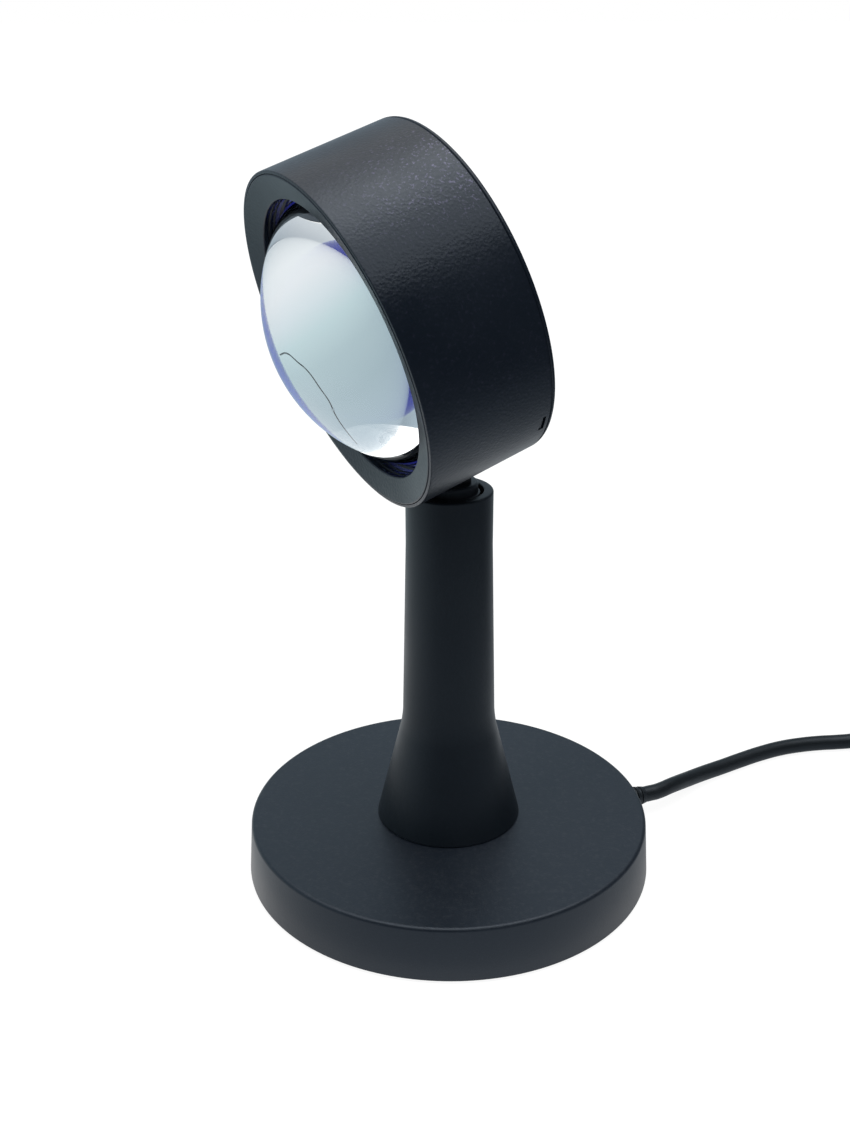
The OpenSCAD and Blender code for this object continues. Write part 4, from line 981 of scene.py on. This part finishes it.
# %% Dress the CAD nodes
node_looks = {
    "base_plate": plate_black, "base_pad": pad_black, "base_weight": iron_grey,
    "base_screws": screw_steel, "driver_board": board_green, "board_screws": screw_steel,
    "inlet_lead": lead_red, "stem_screws": screw_steel, "stem_lead": lead_red,
    "pan_washer": nylon_white, "switch_board": board_green, "hinge_tongue": hinge_black,
    "stop_washer": hinge_steel, "pan_spring": hinge_steel, "pan_nut": hinge_steel,
    "post_lead": lead_red, "lens_gasket": boot_black, "filter_disc": filter_glass,
    "filter_clip": hinge_steel, "led_board": board_white, "led_chip": phosphor_yellow,
    "heat_sink": sink_aluminium, "heat_sink_screws": screw_steel,
    "hinge_bracket": hinge_steel, "bracket_screws": screw_steel, "hinge_pin": hinge_steel,
    "hinge_washers": hinge_steel, "head_lead": lead_red,
}
for node_name, look in node_looks.items():
    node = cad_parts[node_name]
    node.data.materials.clear()
    node.data.materials.append(look)
print("dressed nodes:", len(node_looks))

# %% [markdown]
# ## The studio
# The photograph is a cut-out on white. The floor is mostly white to the eye, with enough plain
# diffuse left to keep a soft shadow, and for the light that bounces on to the lamp it is an
# ordinary pale floor.

# %% White to the eye
def seen_directly(tree):
    path = tree.nodes.new("ShaderNodeLightPath").outputs
    by_eye_or_gloss = calculate(tree, "MAXIMUM", path["Is Camera Ray"], path["Is Glossy Ray"])
    return calculate(tree, "MAXIMUM", by_eye_or_gloss, path["Is Transmission Ray"])


def bare_material(name):
    material = bpy.data.materials.new(name)
    material.use_nodes = True
    material.node_tree.nodes.remove(material.node_tree.nodes["Principled BSDF"])
    return material, material.node_tree


# %% Lay the floor
FLOOR_GLOW = 1.12
FLOOR_WHITE_SHARE = 0.8
FLOOR_HALF_SIZE = 6
floor_look, floor_tree = bare_material("floor_white")
paper = node_in(floor_tree, "ShaderNodeBsdfDiffuse", Color=(0.9, 0.9, 0.9, 1))
lit = node_in(floor_tree, "ShaderNodeEmission", Color=(1, 1, 1, 1), Strength=FLOOR_GLOW)
pale = node_in(floor_tree, "ShaderNodeMixShader", Fac=FLOOR_WHITE_SHARE)
wire(floor_tree, paper.outputs[0], pale.inputs[1])
wire(floor_tree, lit.outputs[0], pale.inputs[2])
choose = node_in(floor_tree, "ShaderNodeMixShader")
wire(floor_tree, seen_directly(floor_tree), choose.inputs[0])
wire(floor_tree, paper.outputs[0], choose.inputs[1])
wire(floor_tree, pale.outputs[0], choose.inputs[2])
wire(floor_tree, choose.outputs[0], floor_tree.nodes["Material Output"].inputs["Surface"])
floor_shape = bmesh.new()
bmesh.ops.create_grid(floor_shape, x_segments=1, y_segments=1, size=FLOOR_HALF_SIZE)
floor = as_object(floor_shape, "floor", floor_look)
floor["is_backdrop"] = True
print("floor: %d m wide" % (2 * FLOOR_HALF_SIZE))

# %% [markdown]
# Gloss and glass show what stands around them. Behind and to the left of the lamp that is paper,
# white close by and grey blue where it sweeps up. The flat back of the lens mirrors it, and so
# does the top of the base. In front and to the right the room is dark, which makes the drum's
# side and the stem almost black. One bowl round the lamp stands for both. Only rays that have
# touched gloss or glass see it, so it neither lights the lamp nor stands in the picture. Over
# its rim they see the white world, which makes the bright patch low on the right of the lens.
# The rim is tilted, lower on the pale side, and that sets where the patch ends.

# %% Show a thing to gloss and glass only
def for_gloss_only(thing):
    thing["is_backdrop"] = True
    for kind in ("camera", "diffuse", "shadow", "volume_scatter"):
        setattr(thing, "visible_" + kind, False)


# %% Turn the bowl
BOWL_START = 0.056
BOWL_BEND_AT = 0.13
BOWL_BEND = 0.26
BOWL_SWEEP = math.radians(88)
BOWL_RISE = 0.22
ABOVE_FLOOR = 0.0005
bowl_shape = bmesh.new()
inner_point = bowl_shape.verts.new((BOWL_START, 0, ABOVE_FLOOR))
outer_point = bowl_shape.verts.new((BOWL_BEND_AT, 0, ABOVE_FLOOR))
bowl_shape.edges.new((inner_point, outer_point))
bmesh.ops.spin(bowl_shape, geom=[outer_point], cent=(BOWL_BEND_AT, 0, BOWL_BEND),
               axis=(0, -1, 0), angle=BOWL_SWEEP, steps=24)
crest = max(bowl_shape.verts, key=lambda vert: vert.co.z)
risen = bmesh.ops.extrude_vert_indiv(bowl_shape, verts=[crest])
bmesh.ops.translate(bowl_shape, vec=(0, 0, BOWL_RISE), verts=risen["verts"])
bmesh.ops.spin(bowl_shape, geom=bowl_shape.verts[:] + bowl_shape.edges[:], cent=(0, 0, 0),
               axis=(0, 0, 1), angle=2 * math.pi, steps=96, use_merge=True)

# %% Dip its rim on the pale side
RIM_DIP = 0.055
PALE_SIDE = math.radians(135)
pale_heading = Vector((math.cos(PALE_SIDE), math.sin(PALE_SIDE), 0))
rim_height = max(vert.co.z for vert in bowl_shape.verts)
for vert in bowl_shape.verts:
    if vert.co.z > rim_height - 0.001:
        vert.co.z -= RIM_DIP * vert.co.xy.normalized().dot(pale_heading.xy)
bmesh.ops.recalc_face_normals(bowl_shape, faces=bowl_shape.faces)
print("bowl faces:", len(bowl_shape.faces))

# %% [markdown]
# Two colour ramps run outwards from the lamp, one for the pale side and one for the dark side,
# and the direction from the lamp picks between them.

# %% Measure outwards from the lamp
SIDES_BETWEEN = (-0.45, 0.9)
bowl_look, bowl_tree = bare_material("studio_bowl")
bowl_look.cycles.emission_sampling = "NONE"
bowl_at = bowl_tree.nodes.new("ShaderNodeTexCoord").outputs["Object"]
flat_part = node_in(bowl_tree, "ShaderNodeVectorMath", operation="MULTIPLY")
flat_part.inputs[1].default_value = (1, 1, 0)
wire(bowl_tree, bowl_at, flat_part.inputs[0])
away = node_in(bowl_tree, "ShaderNodeVectorMath", operation="LENGTH")
wire(bowl_tree, flat_part.outputs["Vector"], away.inputs[0])
outwards = remap(bowl_tree, away.outputs["Value"], BOWL_START, BOWL_BEND_AT + BOWL_BEND)
heading = node_in(bowl_tree, "ShaderNodeVectorMath", operation="NORMALIZE")
wire(bowl_tree, flat_part.outputs["Vector"], heading.inputs[0])
likeness = node_in(bowl_tree, "ShaderNodeVectorMath", operation="DOT_PRODUCT")
likeness.inputs[1].default_value = pale_heading
wire(bowl_tree, heading.outputs["Vector"], likeness.inputs[0])
side = remap(bowl_tree, likeness.outputs["Value"], *SIDES_BETWEEN, curve="SMOOTHSTEP")


# %% Grade the bowl and stand it in the studio
def ramp_outwards(*stops):
    ramp = bowl_tree.nodes.new("ShaderNodeValToRGB")
    wire(bowl_tree, outwards, ramp.inputs["Fac"])
    ends = ramp.color_ramp.elements
    ends[0].color = (*stops[0][1], 1)
    ends[1].color = (*stops[-1][1], 1)
    for share, colour in stops[1:-1]:
        ends.new(share).color = (*colour, 1)
    return ramp.outputs["Color"]


pale_side = ramp_outwards((0, (0.74, 0.78, 0.8)), (0.2, (0.9, 0.93, 0.95)),
                          (0.3, (0.86, 0.89, 0.92)), (0.4, (0.72, 0.8, 0.84)),
                          (0.48, (0.57, 0.71, 0.74)), (0.58, (0.46, 0.58, 0.62)),
                          (0.72, (0.41, 0.52, 0.57)), (1, (0.43, 0.53, 0.61)))
dark_side = ramp_outwards((0, (0.7, 0.74, 0.78)), (0.25, (0.36, 0.41, 0.46)),
                          (0.5, (0.1, 0.115, 0.14)), (1, (0.03, 0.04, 0.055)))
glow = node_in(bowl_tree, "ShaderNodeEmission", Strength=1.0)
wire(bowl_tree, mix_colour(bowl_tree, side, dark_side, pale_side), glow.inputs["Color"])
wire(bowl_tree, glow.outputs[0], bowl_tree.nodes["Material Output"].inputs["Surface"])
bowl = as_object(bowl_shape, "studio_bowl", bowl_look)
for_gloss_only(bowl)

# %% [markdown]
# A thin dark arc crosses the lens in the photograph. It may be a crack, a hair or something that
# the glass mirrors. Here it is a thin lead that hangs in the studio, mirrored by the flat back
# of the lens. Only rays that leave glass meet it, so the drum's gloss doesn't show it.

# %% Hang the lead
LEAD_THICKNESS = 1.6
LEAD_STEPS = 12
lead_points = [(-198, 55, 22), (-190, 77, 25), (-185, 88, 37), (-180, 95, 49), (-177, 96, 68),
               (-177, 96, 80), (-179, 90, 97), (-181, 83, 128), (-183, 78, 157)]
studio_lead = curve_through("studio_lead", lead_points, LEAD_THICKNESS, LEAD_STEPS)
studio_lead.data.materials.append(pad_black)
for_gloss_only(studio_lead)
studio_lead.visible_glossy = False

# %% [markdown]
# The world is white where eye, gloss and glass meet it, and about a third as strong where it
# lights the lamp, so that black stays black.

# %% The world
WORLD_AS_LIGHT = 0.35
world = bpy.data.worlds.new("studio")
world.use_nodes = True
bpy.context.scene.world = world
world_tree = world.node_tree
backdrop = world_tree.nodes["Background"]
backdrop.inputs["Color"].default_value = (1, 1, 1, 1)
wire(world_tree, remap(world_tree, seen_directly(world_tree), 0, 1, WORLD_AS_LIGHT, 1.0),
     backdrop.inputs["Strength"])
print("world as a light:", WORLD_AS_LIGHT)

# %% [markdown]
# A sun lamp with a wide angle is the plainest soft light: it falls evenly on the whole floor,
# so the paper stays white to its far edge. A small one inside a wide one, almost overhead, is a
# softbox with a bright middle and makes the band on the drum. Two weaker ones fill in from the
# front.

# %% The lamps
def soft_sun(name, azimuth, elevation, width, strength):
    data = bpy.data.lights.new(name, "SUN")
    data.angle = math.radians(width)
    data.energy = strength
    lamp = add_object(name, data)
    turn, rise = math.radians(azimuth), math.radians(elevation)
    towards = Vector((math.cos(turn) * math.cos(rise), math.sin(turn) * math.cos(rise),
                      math.sin(rise)))
    lamp.location = towards
    lamp.rotation_euler = towards.to_track_quat("Z", "Y").to_euler()
    print("%s: %d degrees wide, strength %.2f" % (name, width, strength))


soft_sun("sun_overhead", 60, 82, 32, 0.66)
soft_sun("sun_wide", 300, 80, 86, 1.12)
soft_sun("sun_left", 215, 45, 50, 0.35)
soft_sun("sun_right", -35, 35, 50, 0.36)

# %% [markdown]
# The Standard view transform shows each colour about as it is written.

# %% Plain colours
bpy.context.scene.view_settings.view_transform = "Standard"
print("view transform:", bpy.context.scene.view_settings.view_transform)

# %% [markdown]
# ## Measure
# The sizes of the CAD model and of the visual model are printed side by side. The visual
# model has to stay as large as the CAD model.

# %% Print the sizes
seen_low, seen_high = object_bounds()
sizes = {"cad": [list(cad_low), list(cad_high)], "visual": [list(seen_low), list(seen_high)]}
for name, (low, high) in sizes.items():
    print(name, [round((b - a) * 1000, 1) for a, b in zip(low, high)])
